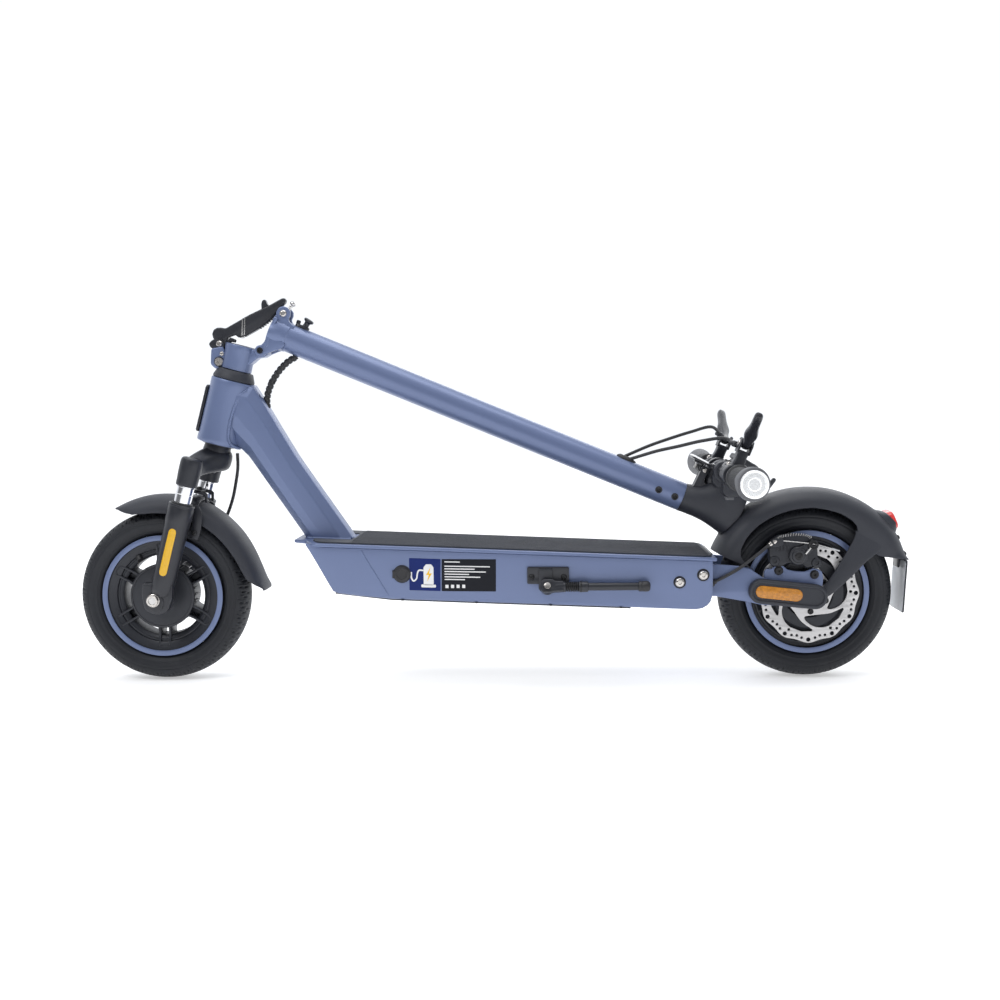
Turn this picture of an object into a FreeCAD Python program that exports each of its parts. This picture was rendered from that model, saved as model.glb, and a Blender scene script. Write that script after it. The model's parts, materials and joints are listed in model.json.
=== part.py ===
import FreeCAD, Part
import math, os

# Folding electric kick scooter, shown folded: the stem lies back over the rear mudguard.
# Design frame: x = 0 at the front axle, +X to the rear, +Z up from the ground, y = 0 on the centre plane.
# Every sub-part's Placement moves it back by frame_shift, so that the origin is under the middle of the scooter.

V = FreeCAD.Vector
doc = FreeCAD.newDocument("kick_scooter")
sheet = doc.addObject("Spreadsheet::Sheet", "Dims")
D = {
    "frame_shift": 483.1, "wheelbase": 950.0, "axle_height": 127.0,
    "tyre_radius": 127.0, "tyre_half_width": 31.0, "rim_radius": 90.0, "ring_inner": 82.0,
    "rake_deg": 15.0, "steer_x": 108.6, "steer_z": 444.8, "head_length": 96.8,
    "head_radius": 32.0, "head_bore": 24.0, "steerer_radius": 14.2, "steer_clear": 0.5,
    "leg_spacing": 62.0, "leg_offset": 6.0, "stanchion_radius": 12.5, "leg_radius": 18.0,
    "deck_half_width": 92.0, "box_half_width": 86.0, "deck_wall": 3.0, "flange_thick": 5.0,
    "mat_thick": 2.5, "downtube_half": 28.0, "downtube_wall": 3.0,
    "stem_angle": -22.6, "fold_range": 97.6, "stem_radius": 21.0, "stem_wall": 2.5, "collar_radius": 23.5,
    "fold_pin_x": 153.6, "fold_pin_z": 487.6, "fold_pin_radius": 3.0, "lug_radius": 8.0,
    "clevis_x": 188.0, "clevis_z": 541.3, "clevis_radius": 10.5,
    "latch_x": 90.8, "latch_z": 498.6, "latch_pin_radius": 3.0, "lever_half": 6.5,
    "bar_x": 831.0, "bar_z": 303.0, "bar_radius": 11.0, "bar_half": 290.0,
    "grip_radius": 15.5, "end_light_radius": 19.5, "fender_radius": 151.5, "fender_half": 46.0,
    "axle_radius": 6.0, "hub_radius": 70.0, "rotor_radius": 72.0, "rotor_thick": 2.0, "rotor_y": -40.0,
    "front_hub_radius": 45.0, "front_fender_radius": 150.0, "front_fender_half": 38.0,
    "stand_x": 571.6, "stand_z": 147.2, "stand_y": 98.5, "stand_rod_radius": 6.0, "stand_tilt": 20.0,
    "cable_radius": 2.5, "loom_radius": 4.0, "running": 0.05,
}
for i, (k, val) in enumerate(D.items()):
    sheet.set("A%d" % (i + 1), k)
    sheet.set("B%d" % (i + 1), repr(val))
    sheet.setAlias("B%d" % (i + 1), k)
doc.recompute()

count = [0]


def uid(p):
    count[0] += 1
    return "%s%03d" % (p, count[0])


def bind(o, prop, v):
    """a number, or an expression in the sheet's aliases"""
    if isinstance(v, str):
        o.setExpression(prop, v)
    else:
        setattr(o, prop, v)


def ax_rot(d):
    return FreeCAD.Rotation(V(0, 0, 1), V(*d))


def cyl(r, h, p, d=(0, 1, 0)):
    o = doc.addObject("Part::Cylinder", uid("Cyl"))
    bind(o, "Radius", r)
    bind(o, "Height", h)
    o.Placement = FreeCAD.Placement(V(*p), ax_rot(d))
    return o


def cone(r1, r2, h, p, d=(0, 1, 0)):
    o = doc.addObject("Part::Cone", uid("Con"))
    bind(o, "Radius1", r1)
    bind(o, "Radius2", r2)
    bind(o, "Height", h)
    o.Placement = FreeCAD.Placement(V(*p), ax_rot(d))
    return o


def box(x0, x1, y0, y1, z0, z1):
    o = doc.addObject("Part::Box", uid("Box"))
    o.Length, o.Width, o.Height = x1 - x0, y1 - y0, z1 - z0
    o.Placement = FreeCAD.Placement(V(x0, y0, z0), FreeCAD.Rotation())
    return o


def fuse(*a):
    if len(a) == 1:
        return a[0]
    o = doc.addObject("Part::MultiFuse", uid("Fus"))
    o.Shapes = list(a)
    return o


def cut(a, *b):
    o = doc.addObject("Part::Cut", uid("Cut"))
    o.Base = a
    o.Tool = fuse(*b)
    return o


def common(a, b):
    o = doc.addObject("Part::MultiCommon", uid("Com"))
    o.Shapes = [a, b]
    return o


def origin(body, role):
    return [f for f in body.Origin.OriginFeatures if f.Role == role][0]


def lines(sk, pts):
    n = len(pts)
    for i in range(n):
        a, b = pts[i], pts[(i + 1) % n]
        sk.addGeometry(Part.LineSegment(V(a[0], a[1], 0), V(b[0], b[1], 0)), False)


def pad(pts, y0, y1, length=None):
    """a plate: the outline is in X and Z, and it lies from y0 to y1. length may be an expression for y1 - y0"""
    body = doc.addObject("PartDesign::Body", uid("Body"))
    sk = body.newObject("Sketcher::SketchObject", uid("Sk"))
    sk.AttachmentSupport = (origin(body, "XZ_Plane"), [""])
    sk.MapMode = "FlatFace"
    sk.AttachmentOffset = FreeCAD.Placement(V(0, 0, -y1), FreeCAD.Rotation())
    lines(sk, pts)
    p = body.newObject("PartDesign::Pad", uid("Pad"))
    p.Profile = sk
    bind(p, "Length", length if length else y1 - y0)
    return body


def sym(pts, half, expr=None):
    """a plate centred on y = 0. expr binds its half width to the sheet"""
    b = pad(pts, -half, half, "2 * " + expr if expr else None)
    if expr:
        b.Group[0].setExpression("AttachmentOffset.Base.z", "-" + expr)
    return b


def rev(pts, cx, cz, start=0.0, span=360.0, wheel_x=None):
    """turned about the Y axis through (cx, cz). pts are (radius, y); an arc runs down from start, in degrees above +X"""
    body = doc.addObject("PartDesign::Body", uid("Body"))
    sk = body.newObject("Sketcher::SketchObject", uid("Sk"))
    sk.AttachmentSupport = (origin(body, "XY_Plane"), [""])
    sk.MapMode = "FlatFace"
    lines(sk, pts)
    r = body.newObject("PartDesign::Revolution", uid("Rev"))
    r.Profile = sk
    r.ReferenceAxis = (sk, ["V_Axis"])
    r.Angle = span
    body.Placement = FreeCAD.Placement(V(cx, 0, cz), FreeCAD.Rotation(V(0, 1, 0), -start))
    body.setExpression("Placement.Base.z", "Dims.axle_height") if abs(cz - D["axle_height"]) < 1e-6 else None
    return body


def ring(r0, r1, y0, y1, cx, cz):
    return rev([(r0, y0), (r1, y0), (r1, y1), (r0, y1)], cx, cz)


def tube(points, r, name):
    """a round cable: straight runs joined by tangent arcs"""
    P = [V(*p) for p in points]
    edges, last, radii, length = [], P[0], [], 0.0
    for i in range(1, len(P) - 1):
        a, b = (P[i - 1] - P[i]), (P[i + 1] - P[i])
        la, lb = a.Length, b.Length
        a, b = a / la, b / lb
        turn = math.pi - a.getAngle(b)
        back = 0.45 * min(la, lb)
        rad = back / math.tan(turn / 2)
        p0, p1 = P[i] + a * back, P[i] + b * back
        m = (a + b)
        m = m / m.Length
        mid = P[i] + m * (math.hypot(rad, back) - rad)
        edges.append(Part.LineSegment(last, p0).toShape())
        edges.append(Part.Arc(p0, mid, p1).toShape())
        last = p1
        radii.append(round(rad, 1))
    edges.append(Part.LineSegment(last, P[-1]).toShape())
    w = Part.Wire(edges)
    d = (P[1] - P[0])
    c = Part.Wire(Part.makeCircle(r, P[0], d).Edges)
    s = w.makePipeShell([c], True, False)
    s = Part.Solid(s) if s.ShapeType == "Shell" else s
    print(name, "bend radii", radii, "length", round(w.Length, 1), "volume ratio", round(s.Volume / (math.pi * r * r * w.Length), 4))
    return s


def feature(shapes, name):
    o = doc.addObject("Part::Feature", uid("Feat"))
    o.Shape = shapes[0] if len(shapes) == 1 else Part.makeCompound(shapes)
    return o


nodes = {}


def node(name, o):
    """names a sub-part and moves it into the part's own frame"""
    o.Label = name
    x = o.Placement.Base.x
    o.setExpression("Placement.Base.x", "%r - Dims.frame_shift" % x if x else "-Dims.frame_shift")
    nodes[name] = o
    return o


# ---- frames of reference ---------------------------------------------------------------------
rk = math.radians(D["rake_deg"])
A = V(math.sin(rk), 0, math.cos(rk))                 # steering axis, upwards
W = V(math.cos(rk), 0, -math.sin(rk))                # rearwards, square to it
HT = V(D["steer_x"], 0, D["steer_z"])                # top of the head tube
al_s = math.radians(D["stem_angle"])
SD = V(math.cos(al_s), 0, math.sin(al_s))            # along the folded stem, towards the handlebar
SN = V(-math.sin(al_s), 0, math.cos(al_s))           # square to it, upwards
fr = math.radians(D["fold_range"])
UP = HT + A * 53.4 - V(D["fold_pin_x"], 0, D["fold_pin_z"])   # from the fold pin to the joint face, stem upright
M0 = V(D["fold_pin_x"] + UP.x * math.cos(fr) + UP.z * math.sin(fr), 0, D["fold_pin_z"] - UP.x * math.sin(fr) + UP.z * math.cos(fr))   # centre of the stem's joint face
RX, AZ = D["wheelbase"], D["axle_height"]


def HF(w, u):
    """point in the head's frame: w rearwards of the steering axis, u above the head tube's top"""
    p = HT + W * w + A * u
    return (p.x, p.z)


def SF(s, n):
    p = M0 + SD * s + SN * n
    return (p.x, p.z)


def circ(cx, cz, r, a0=0, a1=360, n=16):
    k = n if a1 - a0 >= 360 else n + 1
    return [(cx + r * math.cos(math.radians(a0 + (a1 - a0) * i / n)), cz + r * math.sin(math.radians(a0 + (a1 - a0) * i / n))) for i in range(k)]


def hcyl(r, t0, t1):
    """a cylinder about the steering axis, from t0 to t1 above the head tube's top"""
    p = HT + A * t0
    return cyl(r, t1 - t0, (p.x, 0, p.z), (A.x, 0, A.z))


def ycyl(r, x, z, y0, y1):
    return cyl(r, y1 - y0, (x, y0, z), (0, 1, 0))


def scyl(r, s0, s1, n=0.0, y=0.0):
    x, z = SF(s0, n)
    return cyl(r, s1 - s0, (x, y, z), (SD.x, 0, SD.z))


# ---- frame: head tube, down tube and deck --------------------------------------------------------
node("head_tube", cut(hcyl("Dims.head_radius", -D["head_length"], 0), hcyl("Dims.head_bore", -D["head_length"] - 5, 5)))
node("headset_bearings", fuse(*[cut(hcyl("Dims.head_bore", t, t + 9), hcyl("Dims.steerer_radius + Dims.running", t - 1, t + 10)) for t in (-D["head_length"], -9)]))

dt_out = [(112, 356), (123, 345), (205.7, 223.9), (213.4, 211.9), (286.5, 208.7), (277.8, 223.3), (203.7, 331.6), (159.2, 407.9), (142.4, 436.2), (128, 430)]
dt_in = [(124, 352), (208.5, 226.0), (217.9, 209), (283, 206), (274.6, 222.3), (200.7, 330.0), (156.5, 406.0), (141.0, 431.5), (130, 425)]
dt_half = D["downtube_half"]
node("down_tube", cut(sym(dt_out, dt_half, "Dims.downtube_half"), sym(dt_in, dt_half - 3, "(Dims.downtube_half - Dims.downtube_wall)"),
                      hcyl("Dims.head_radius", -D["head_length"] - 30, 30), cyl(5.6, 60, (155.5, 0, 385), (0.085, 0, 0.9964))))


def top_z(x):
    return 194.9 - 0.0438 * (x - 600)


flange = sym([(222, top_z(222)), (812, top_z(812)), (812, top_z(812) - 5), (222, top_z(222) - 5)], 92, "Dims.deck_half_width")
nose = sym([(203, top_z(203)), (222, top_z(222)), (222, top_z(222) - 5), (203, top_z(203) - 5)], 50)
shell = sym([(225, top_z(225) - 2), (264.4, 138.9), (348.8, 128.7), (475.1, 123.3), (689.6, 114.7), (783, 110.6), (795, 113), (803, 121), (805.5, 132.3), (805.5, top_z(805) - 2)], 86, "Dims.box_half_width")
hollow = sym([(232, top_z(232) - 5), (268, 142.3), (350, 131.7), (476, 126.3), (690, 117.7), (782, 113.8), (793, 116), (800, 121), (812, 121), (812, top_z(812) - 5)], 83, "(Dims.box_half_width - Dims.deck_wall)")
hatch = box(290, 680, -70, 70, 100, 150)
node("deck_shell", cut(fuse(flange, nose, shell), hollow, hatch))
node("deck_mat", sym([(288, top_z(288) + 2.5), (800, top_z(800) + 2.5), (800, top_z(800)), (288, top_z(288))], 84))
node("bottom_cover", sym([(266, 138.5), (348.8, 128.6), (475.1, 123.2), (690, 114.5), (690, 112.5), (475.1, 121.2), (348.8, 126.6), (266, 136.5)], 80))
node("battery_pack", sym([(300, 196), (640, 181), (640, 122), (476, 129), (352, 134), (300, 141)], 66))
node("motor_controller", sym([(656, 178), (750, 174), (750, 122), (656, 126)], 45))

# ---- charging port, on the left side ------------------------------------------------------------
node("charge_cap", fuse(ycyl(11, 364.1, 165.2, -89.5, -86.3), pad([(352, 160), (352, 170.4), (358, 170.4), (358, 160)], -89.5, -86.3), cyl(1.0, 12.0, (352, -89.5, 159.2), (0, 0, 1))))

# ---- side stand ------------------------------------------------------------------------------------
sx, sz, sy = D["stand_x"], D["stand_z"], D["stand_y"]
plate = pad([(542.8, 174.3), (602.4, 173.9), (602.4, 149.6), (542.8, 150)], -90, -86)
tl = math.radians(D["stand_tilt"])
SA = V(0, math.cos(tl), -math.sin(tl))               # the stand's hinge axis
SU = V(0, math.sin(tl), math.cos(tl))


def stand_pt(u, a):
    """from the stand's pivot: u up, square to its hinge axis, and a along the axis"""
    return V(sx, -sy, sz) + SU * u + SA * a


def sa_cyl(r, a0, a1, u=0.0, x=0.0):
    p = stand_pt(u, a0) + V(x, 0, 0)
    return cyl(r, a1 - a0, (p.x, p.y, p.z), (SA.x, SA.y, SA.z))


hinge_lug = fuse(pad([(560, 171.5), (578.6, 171.5), (578.6, 150), (577, 141), (565, 141), (560, 150)], -92.5, -90), sa_cyl(9.4, 5.4, 10.0))
node("stand_bracket", fuse(cut(fuse(plate, hinge_lug), sa_cyl(10.0, -12, 5.3)), sa_cyl(4.0, -9, 9)))
knuckle = fuse(sa_cyl(9.0, -7.5, 5), cyl(4.9, 8.0, (sx + 6, -sy, sz), (1, 0, 0)), cyl(7.6, 12.2, (sx + 9.8, -sy, sz), (1, 0, 0)), cyl(7.6, 8.0, (sx + 46, -sy, sz), (1, 0, 0)), cyl("Dims.stand_rod_radius", 130.0, (sx + 10, -sy, sz), (1, 0, 0)), cyl(7.5, 14, (sx + 131, -sy, sz), (1, 0, 0)))
node("stand_leg", cut(knuckle, sa_cyl("4 + Dims.running", -20, 20)))

# ---- rear fork arms, axle and mudguard -----------------------------------------------------------
arm_pts = [(742, 176), (812.5, 172.9), (861, 166.8), (880, 152), (905, 146), (950, 143), (965, 136), (966, 118), (950, 111), (877, 114.5), (812.6, 127.2), (742, 130)]
arms = []
for k in (-1, 1):
    a = pad(arm_pts, min(66 * k, 58 * k), max(66 * k, 58 * k))
    b = pad([(746, 172), (800, 170), (800, 134), (746, 136)], min(82.9 * k, 66 * k), max(82.9 * k, 66 * k))
    arms.append(cut(fuse(a, b), ycyl("Dims.axle_radius + 0.1", RX, AZ, -90, 90)))
arms.append(sym([(793, top_z(793) - 7), (799, top_z(799) - 7), (799, 122.5), (793, 122.5)], 58))
arms.append(pad([(883, 146.5), (883, 163.5), (893, 168.5), (905, 170), (915, 165), (936, 163), (946, 166), (953, 166.5), (954.5, 150), (950, 120)], -58, -53))
node("rear_arms", cut(fuse(*arms), ycyl("Dims.axle_radius + 0.1", RX, AZ, -60, -50)))
heads = []
for k in (-1, 1):
    for x, z in ((759.1, 150.7), (792.5, 160.9)):
        y0, y1 = (-90.5, -86) if k < 0 else (86, 90.5)
        heads.append(ycyl(8.2, x, z, y0, y1))
for x in (364, 470, 576, 676):
    for k in (-1, 1):
        zb = 128.7 + (x - 348.8) * (123.3 - 128.7) / (475.1 - 348.8) if x < 475.1 else 123.3 + (x - 475.1) * (114.7 - 123.3) / (689.6 - 475.1)
        heads.append(cyl(2.3, 1.6, (x, 83.2 * k, zb - 0.02), (-0.0404, 0, -0.99918)))
node("frame_screws", fuse(*heads))
node("rear_axle", fuse(ycyl("Dims.axle_radius", RX, AZ, -74, 74), ycyl(10, RX, AZ, -73, -66), ycyl(10, RX, AZ, 66, 73)))
covers = []
for k in (-1, 1):
    pts = [(948.1, 109.3), (879.1, 116.8), (882.9, 152.2), (951.9, 144.7)]
    y0, y1 = (-79, -66.2) if k < 0 else (66.2, 79)
    body = fuse(ycyl(17.8, 950, 127, y0, y1), ycyl(17.8, 881, 134.5, y0, y1), pad(pts, y0, y1))
    yi0, yi1 = (-74.5, -60) if k < 0 else (60, 74.5)
    covers.append(cut(body, ycyl(11.5, 950, 127, yi0, yi1)))
node("axle_covers", fuse(*covers))
R = D["fender_radius"]
fh = D["fender_half"]
shell_pts = [(112, -fh), (R - 9, -fh), (R - 2.5, -fh + 11), (R, -12), (R, 12), (R - 2.5, fh - 11), (R - 9, fh), (112, fh), (112, fh - 3),
             (R - 11, fh - 3), (R - 5.5, fh - 13), (R - 3, 0), (R - 5.5, -fh + 13), (R - 11, -fh + 3), (112, -fh + 3)]
guard = rev(shell_pts, RX, AZ, 156.0, 137.0)
windows = fuse(rev([(100, -60), (121, -60), (121, 60), (100, 60)], RX, AZ, 147.0, 92.0))
stays = []
for k in (-1, 1):
    y = sorted((46.0 * k, 50.5 * k))
    stays.append(pad([(1017.5, 215), (1030, 214), (1050, 190), (1046, 184), (1005, 150), (985, 165)], *y))
    y = sorted((50.0 * k, 57.9 * k))
    stays.append(pad([(1012, 186), (1022, 170), (982, 131), (968, 126), (956, 140)], *y))
lamp_base = sym([(1057, 229), (1070.5, 236), (1080.5, 213), (1072, 203)], 24)
node("rear_fender", fuse(cut(guard, windows), lamp_base, *stays))
node("tail_light", pad([(1070.5, 236), (1077, 240), (1087, 216.5), (1080.5, 213)], -26, 26))
node("number_plate", fuse(sym([(1087.0, 173), (1088.8, 173), (1085.2, 97), (1083.4, 97)], 35), sym([(1081.5, 184), (1086, 182.5), (1087.3, 170), (1086.7, 163), (1083.2, 160)], 12)))

# ---- rear disc brake -----------------------------------------------------------------------------
ry = D["rotor_y"]
cal = pad([(893, 172), (892, 206), (906, 213), (950, 211), (957, 194), (962, 170), (940, 166), (915, 168)], -58, -33)
node("brake_caliper", cut(cal, ycyl("Dims.rotor_radius + 1.5", RX, AZ, ry - 1.8, ry + 2 + 1.8), ycyl(54.5, RX, AZ, ry - 1.9, ry + 9), pad([(880, 140), (880, 172), (970, 172), (970, 140)], -58.5, -52.9)))
arm_c = fuse(ycyl(12.5, 930.7, 184.3, -66.5, -59), pad([(926, 195), (948, 207), (956, 200), (955, 195), (938, 176)], -64, -60))
node("caliper_arm", arm_c)
node("rear_brake_cable", feature([tube([(806.2, -71, 147), (828, -71, 158), (850, -70, 172), (872, -67, 189), (893, -62, 203)], D["cable_radius"], "rear_brake_cable")], "c"))

# ---- rear wheel, turning on its axle ----------------------------------------------------------------
TR, TW = D["tyre_radius"], D["tyre_half_width"]
tyre_pts = [(90, -21), (96, -27), (107, -TW), (117, -28.5), (123.5, -19), (126.4, -8), (TR, 0), (126.4, 8), (123.5, 19), (117, 28.5), (107, TW), (96, 27), (90, 21),
            (92.5, 18), (98, 22.5), (107, 25.5), (114.5, 23.5), (119.5, 14), (121, 0), (119.5, -14), (114.5, -23.5), (107, -25.5), (98, -22.5), (92.5, -18)]
node("rear_tyre", rev(tyre_pts, RX, AZ))
motor_pts = [(14.2, -33), (34, -33), (34, -38), (52, -38), (52, -30), (68, -28), (72, -20), (82, -20), (82, -27), (90, -27), (90, -21), (88, -17), (88, 17), (90, 21), (90, 27), (82, 27), (82, 20), (72, 20), (68, 28), (34, 30), (14.2, 30),
             (14.2, 26), (62, 24), (66, 18), (66, -18), (62, -24), (30, -26), (14.2, -26)]
node("hub_motor_shell", rev(motor_pts, RX, AZ))
node("motor_stator", cut(ring(12, 60, -16, 16, RX, AZ), ycyl("Dims.axle_radius + 0.2", RX, AZ, -20, 20)))
node("rear_wheel_bearings", fuse(ring(6.05, 14.15, -33, -27, RX, AZ), ring(6.05, 14.15, 26.3, 30, RX, AZ)))
rot = cut(ring(53, 72, ry, ry + 2, RX, AZ), *[ycyl(3.0, RX + 64 * math.cos(math.radians(a)), AZ + 64 * math.sin(math.radians(a)), ry - 1, ry + 3) for a in range(0, 360, 30)])
spokes = []
for i in range(6):
    a = math.radians(60 * i + 10)
    c, s = math.cos(a), math.sin(a)
    c2, s2 = math.cos(a + 0.35), math.sin(a + 0.35)
    spokes.append(pad([(RX + 30 * c - 4 * s, AZ + 30 * s + 4 * c), (RX + 30 * c + 4 * s, AZ + 30 * s - 4 * c), (RX + 55 * c2 + 4 * s2, AZ + 55 * s2 - 4 * c2), (RX + 55 * c2 - 4 * s2, AZ + 55 * s2 + 4 * c2)], ry, ry + 2))
node("brake_rotor", fuse(rot, ring(20, 34, ry, ry + 2, RX, AZ), *spokes))

# ---- front wheel ---------------------------------------------------------------------------------------
node("front_tyre", rev(tyre_pts, 0, AZ))
rim_pts = [(72, -22), (82, -24), (82, -27), (90, -27), (90, -21), (88, -17), (88, 17), (90, 21), (90, 27), (82, 27), (82, 24), (72, 22)]
hub_pts = [(14.2, -28), (45, -28), (45, 22), (38, 22), (38, 4), (22, 2), (22, 12), (14.2, 12)]
fs = []
for i in range(6):
    for dy in (-7.5, 7.5):
        a = math.radians(30 + 60 * i)
        c, s = math.cos(a), math.sin(a)
        fs.append(pad([(c * 40 - s * (dy - 3), AZ + s * 40 + c * (dy - 3)), (c * 76 - s * (dy - 3), AZ + s * 76 + c * (dy - 3)), (c * 76 - s * (dy + 3), AZ + s * 76 + c * (dy + 3)), (c * 40 - s * (dy + 3), AZ + s * 40 + c * (dy + 3))], -18, 10))
spk = cut(fuse(*fs), ycyl(42, 0, AZ, -40, 40))
node("front_rim", fuse(rev(rim_pts, 0, AZ), rev(hub_pts, 0, AZ), spk))
node("front_wheel_bearings", fuse(ring(6.05, 14.15, -28, -20, 0, AZ), ring(6.05, 14.15, 4, 12, 0, AZ)))

# ---- fork: crown and stanchions turn with the steering, the lower legs slide on them ---------------
LX = D["leg_offset"]


def LP(t, y):
    return (LX + A.x * t, y, AZ + A.z * t)


def lcyl(r, t0, t1, y):
    return cyl(r, t1 - t0, LP(t0, y), (A.x, 0, A.z))


ls = D["leg_spacing"]
bridge = sym([(44, 330), (64, 346), (101, 337), (96, 316), (74, 308), (48, 308)], ls)
boss_top = HT + A * (-D["head_length"] - 1)
sh = [lcyl(15.5, 172, 212, -ls), lcyl(15.5, 172, 212, ls)]
holes = [lcyl("Dims.stanchion_radius", 168, 206, -ls), lcyl("Dims.stanchion_radius", 168, 206, ls)]
node("fork_crown", cut(fuse(bridge, hcyl(19.5, -D["head_length"] - 18, -D["head_length"] - 1), hcyl("Dims.steerer_radius", -D["head_length"] - 10, 34), *sh), hcyl(9, -D["head_length"] - 40, 60), *holes))
node("fork_stanchions", fuse(*[cut(lcyl("Dims.stanchion_radius", 70, 206, k * ls), lcyl("Dims.stanchion_radius - 2", 60, 200, k * ls)) for k in (-1, 1)]))
hc = HT + A * 0.5
node("headset_cover", cut(cone(30.5, 25.5, 14.5, (hc.x, 0, hc.z), (A.x, 0, A.z)), hcyl("Dims.steerer_radius", -5, 30)))
# base casting of the folding joint
px, pz = D["fold_pin_x"], D["fold_pin_z"]
kx, kz = D["latch_x"], D["latch_z"]
arm_b = sym([HF(10, -26 + 53.4), HF(20, -26 + 53.4), HF(30, -9 + 53.4), HF(39, -5 + 53.4), HF(34, 6 + 53.4), HF(27, 3 + 53.4), HF(24.5, -1.6 + 53.4), HF(10, -1.6 + 53.4)], 14)
front_lug = sym([(80, 491), (100, 491), (104, 466), (93, 462), (84, 463), (78.5, 470), (78, 485)], 12)
slot_f = box(60, 88.5, -7.3, 7.3, 470, 530)
node("fold_base", cut(fuse(hcyl("Dims.collar_radius", 15.2, 53.0), arm_b, ycyl("Dims.lug_radius", px, pz, -14, 14), front_lug),
                      hcyl("Dims.steerer_radius", 10, 34.1), hcyl(31.5, -5, 15.15), hcyl(11, 30, 60), ycyl("Dims.fold_pin_radius", px, pz, -30, 30), slot_f,
                      ycyl(11.3, kx, kz, -7.3, 7.3)))
node("fold_pin", fuse(ycyl("Dims.fold_pin_radius", px, pz, -21.5, 21.5), ycyl(4.6, px, pz, -23.5, -21.5), ycyl(4.6, px, pz, 21.5, 23.5)))
ears = []
for k in (-1, 1):
    y = sorted((7.3 * k, 11 * k))
    ears.append(fuse(pad([(80, 491), (97, 491), (96, 499), (85.5, 499), (80, 499)], *y), ycyl(5.4, kx, kz, *y)))
node("latch_bracket", fuse(fuse(*ears), ycyl("Dims.latch_pin_radius", kx, kz, -13, 13), ycyl(2.2, 95.1, 484, -13, -12), ycyl(3.8, 91.0, 472.4, -16, -12.05), ycyl(3.8, 91.0, 472.4, 12.05, 16)))

# latch lever, drawn along its own axis
la = math.radians(32.0)


def LF(a, p):
    return (kx + a * math.cos(la) - p * math.sin(la), kz + a * math.sin(la) + p * math.cos(la))


lv = [LF(*q) for q in ((3, 3), (9, 1), (20, 1.5), (26.6, -0.2), (29, -6.5), (33, -8.5), (38.4, -9.5), (55, -10.2), (67, -10), (86, -7.6), (100, -1), (116, 3), (118, 8), (114, 11.5), (95, 12), (60, 15), (20, 15.5), (14, 21), (5, 22.5), (-1, 19), (-3, 12))]
node("latch_lever", cut(fuse(sym(lv, 6.5, "Dims.lever_half"), ycyl(6.6, kx, kz, -6.5, 6.5), sym([LF(80, 11), LF(90, 11), LF(92, 20), LF(86, 19)], 4)),
                        ycyl("Dims.latch_pin_radius + Dims.running", kx, kz, -20, 20)))

# ---- lower legs, springs, front mudguard, axle ------------------------------------------------------
low = []
for k in (-1, 1):
    y = sorted((54 * k, 70 * k))
    body = fuse(lcyl("Dims.leg_radius", 10, 143, k * ls), lcyl("Dims.leg_radius + 0.7", 122, 143, k * ls), pad(circ(4, 127.5, 22, n=20), *y))
    low.append(cut(body, lcyl("Dims.stanchion_radius + Dims.running", 32, 150, k * ls), ycyl("Dims.axle_radius + 0.1", 0, AZ, -90, 90)))
node("lower_legs", fuse(*low))
node("front_axle", fuse(ycyl("Dims.axle_radius", 0, AZ, -80, 80), cut(ycyl(9.5, 0, AZ, -80, -70), ycyl(5, 0, AZ, -85, -77)), ycyl(9.5, 0, AZ, 70, 80)))
FR, FH = D["front_fender_radius"], D["front_fender_half"]
ff = [(124, -FH), (FR - 8, -FH), (FR - 2, -FH + 10), (FR, -10), (FR, 10), (FR - 2, FH - 10), (FR - 8, FH), (124, FH), (124, FH - 2.5), (FR - 10, FH - 2.5), (FR - 4.5, FH - 12), (FR - 2.5, 0), (FR - 4.5, -FH + 12), (FR - 10, -FH + 2.5), (124, -FH + 2.5)]
node("front_fender", rev(ff, 0, AZ, 116.0, 110.0))
node("drum_brake_plate", cut(ring(6.2, 43, 23, 27, 0, AZ), ycyl("Dims.axle_radius + 0.1", 0, AZ, 20, 30)))
bx, bz = 10.0, 158.0
node("drum_brake_arm", fuse(ycyl(6, bx, bz, 28, 36), pad([(bx - 4, bz), (bx + 4, bz), (bx + 34, bz + 18), (bx + 30, bz + 24)], 30, 34)))
node("front_brake_cable", feature([tube([(103.5, 34, 335), (102, 40, 313), (97, 46, 290), (91, 49, 266), (83, 48, 243), (73, 44, 221), (60, 38, 201), (46, 32.5, 186)], D["cable_radius"], "front_brake_cable")], "c"))

# ---- stem -----------------------------------------------------------------------------------------------
hx, hz = D["clevis_x"], D["clevis_z"]
lugs = []
for k in (-1, 1):
    y = sorted((14.5 * k, 21 * k))
    lugs.append(fuse(ycyl("Dims.lug_radius", px, pz, *y), pad([SF(0.3, -10), SF(0.3, -26.5), SF(-6, -31), SF(6, -39), SF(26, -20), SF(26, -10)], *y)))
    y = sorted((8.5 * k, 15.5 * k))
    lugs.append(fuse(ycyl("Dims.clevis_radius", hx, hz, *y), pad([SF(0.3, 12), SF(0.6, 26), SF(9, 36), SF(21, 30), SF(26, 12)], *y)))
x0, z0 = SF(0.3, 0)
collar = cyl("Dims.collar_radius", 16.0, (x0, 0, z0), (SD.x, 0, SD.z))
x1, z1 = SF(16.3, 0)
taper = cone("Dims.collar_radius", "Dims.stem_radius", 12.0, (x1, 0, z1), (SD.x, 0, SD.z))
bores = [scyl("Dims.stem_radius - Dims.stem_wall", 8, 700), ycyl("Dims.fold_pin_radius + Dims.running", px, pz, -25, 25), ycyl(4.0, hx, hz, -20, 20)]
loom_hole = cyl(5.5, 40, (200.5, 0, 473), (0.25, 0, 0.97))
node("stem_tube", cut(fuse(collar, taper, scyl("Dims.stem_radius", 27, 655), *lugs), *bores, loom_hole))
node("clevis_pin", fuse(ycyl(3.95, hx, hz, -17.5, 17.5), ycyl(5, hx, hz, -19, -15.6), ycyl(5, hx, hz, 15.6, 19)))
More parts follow.
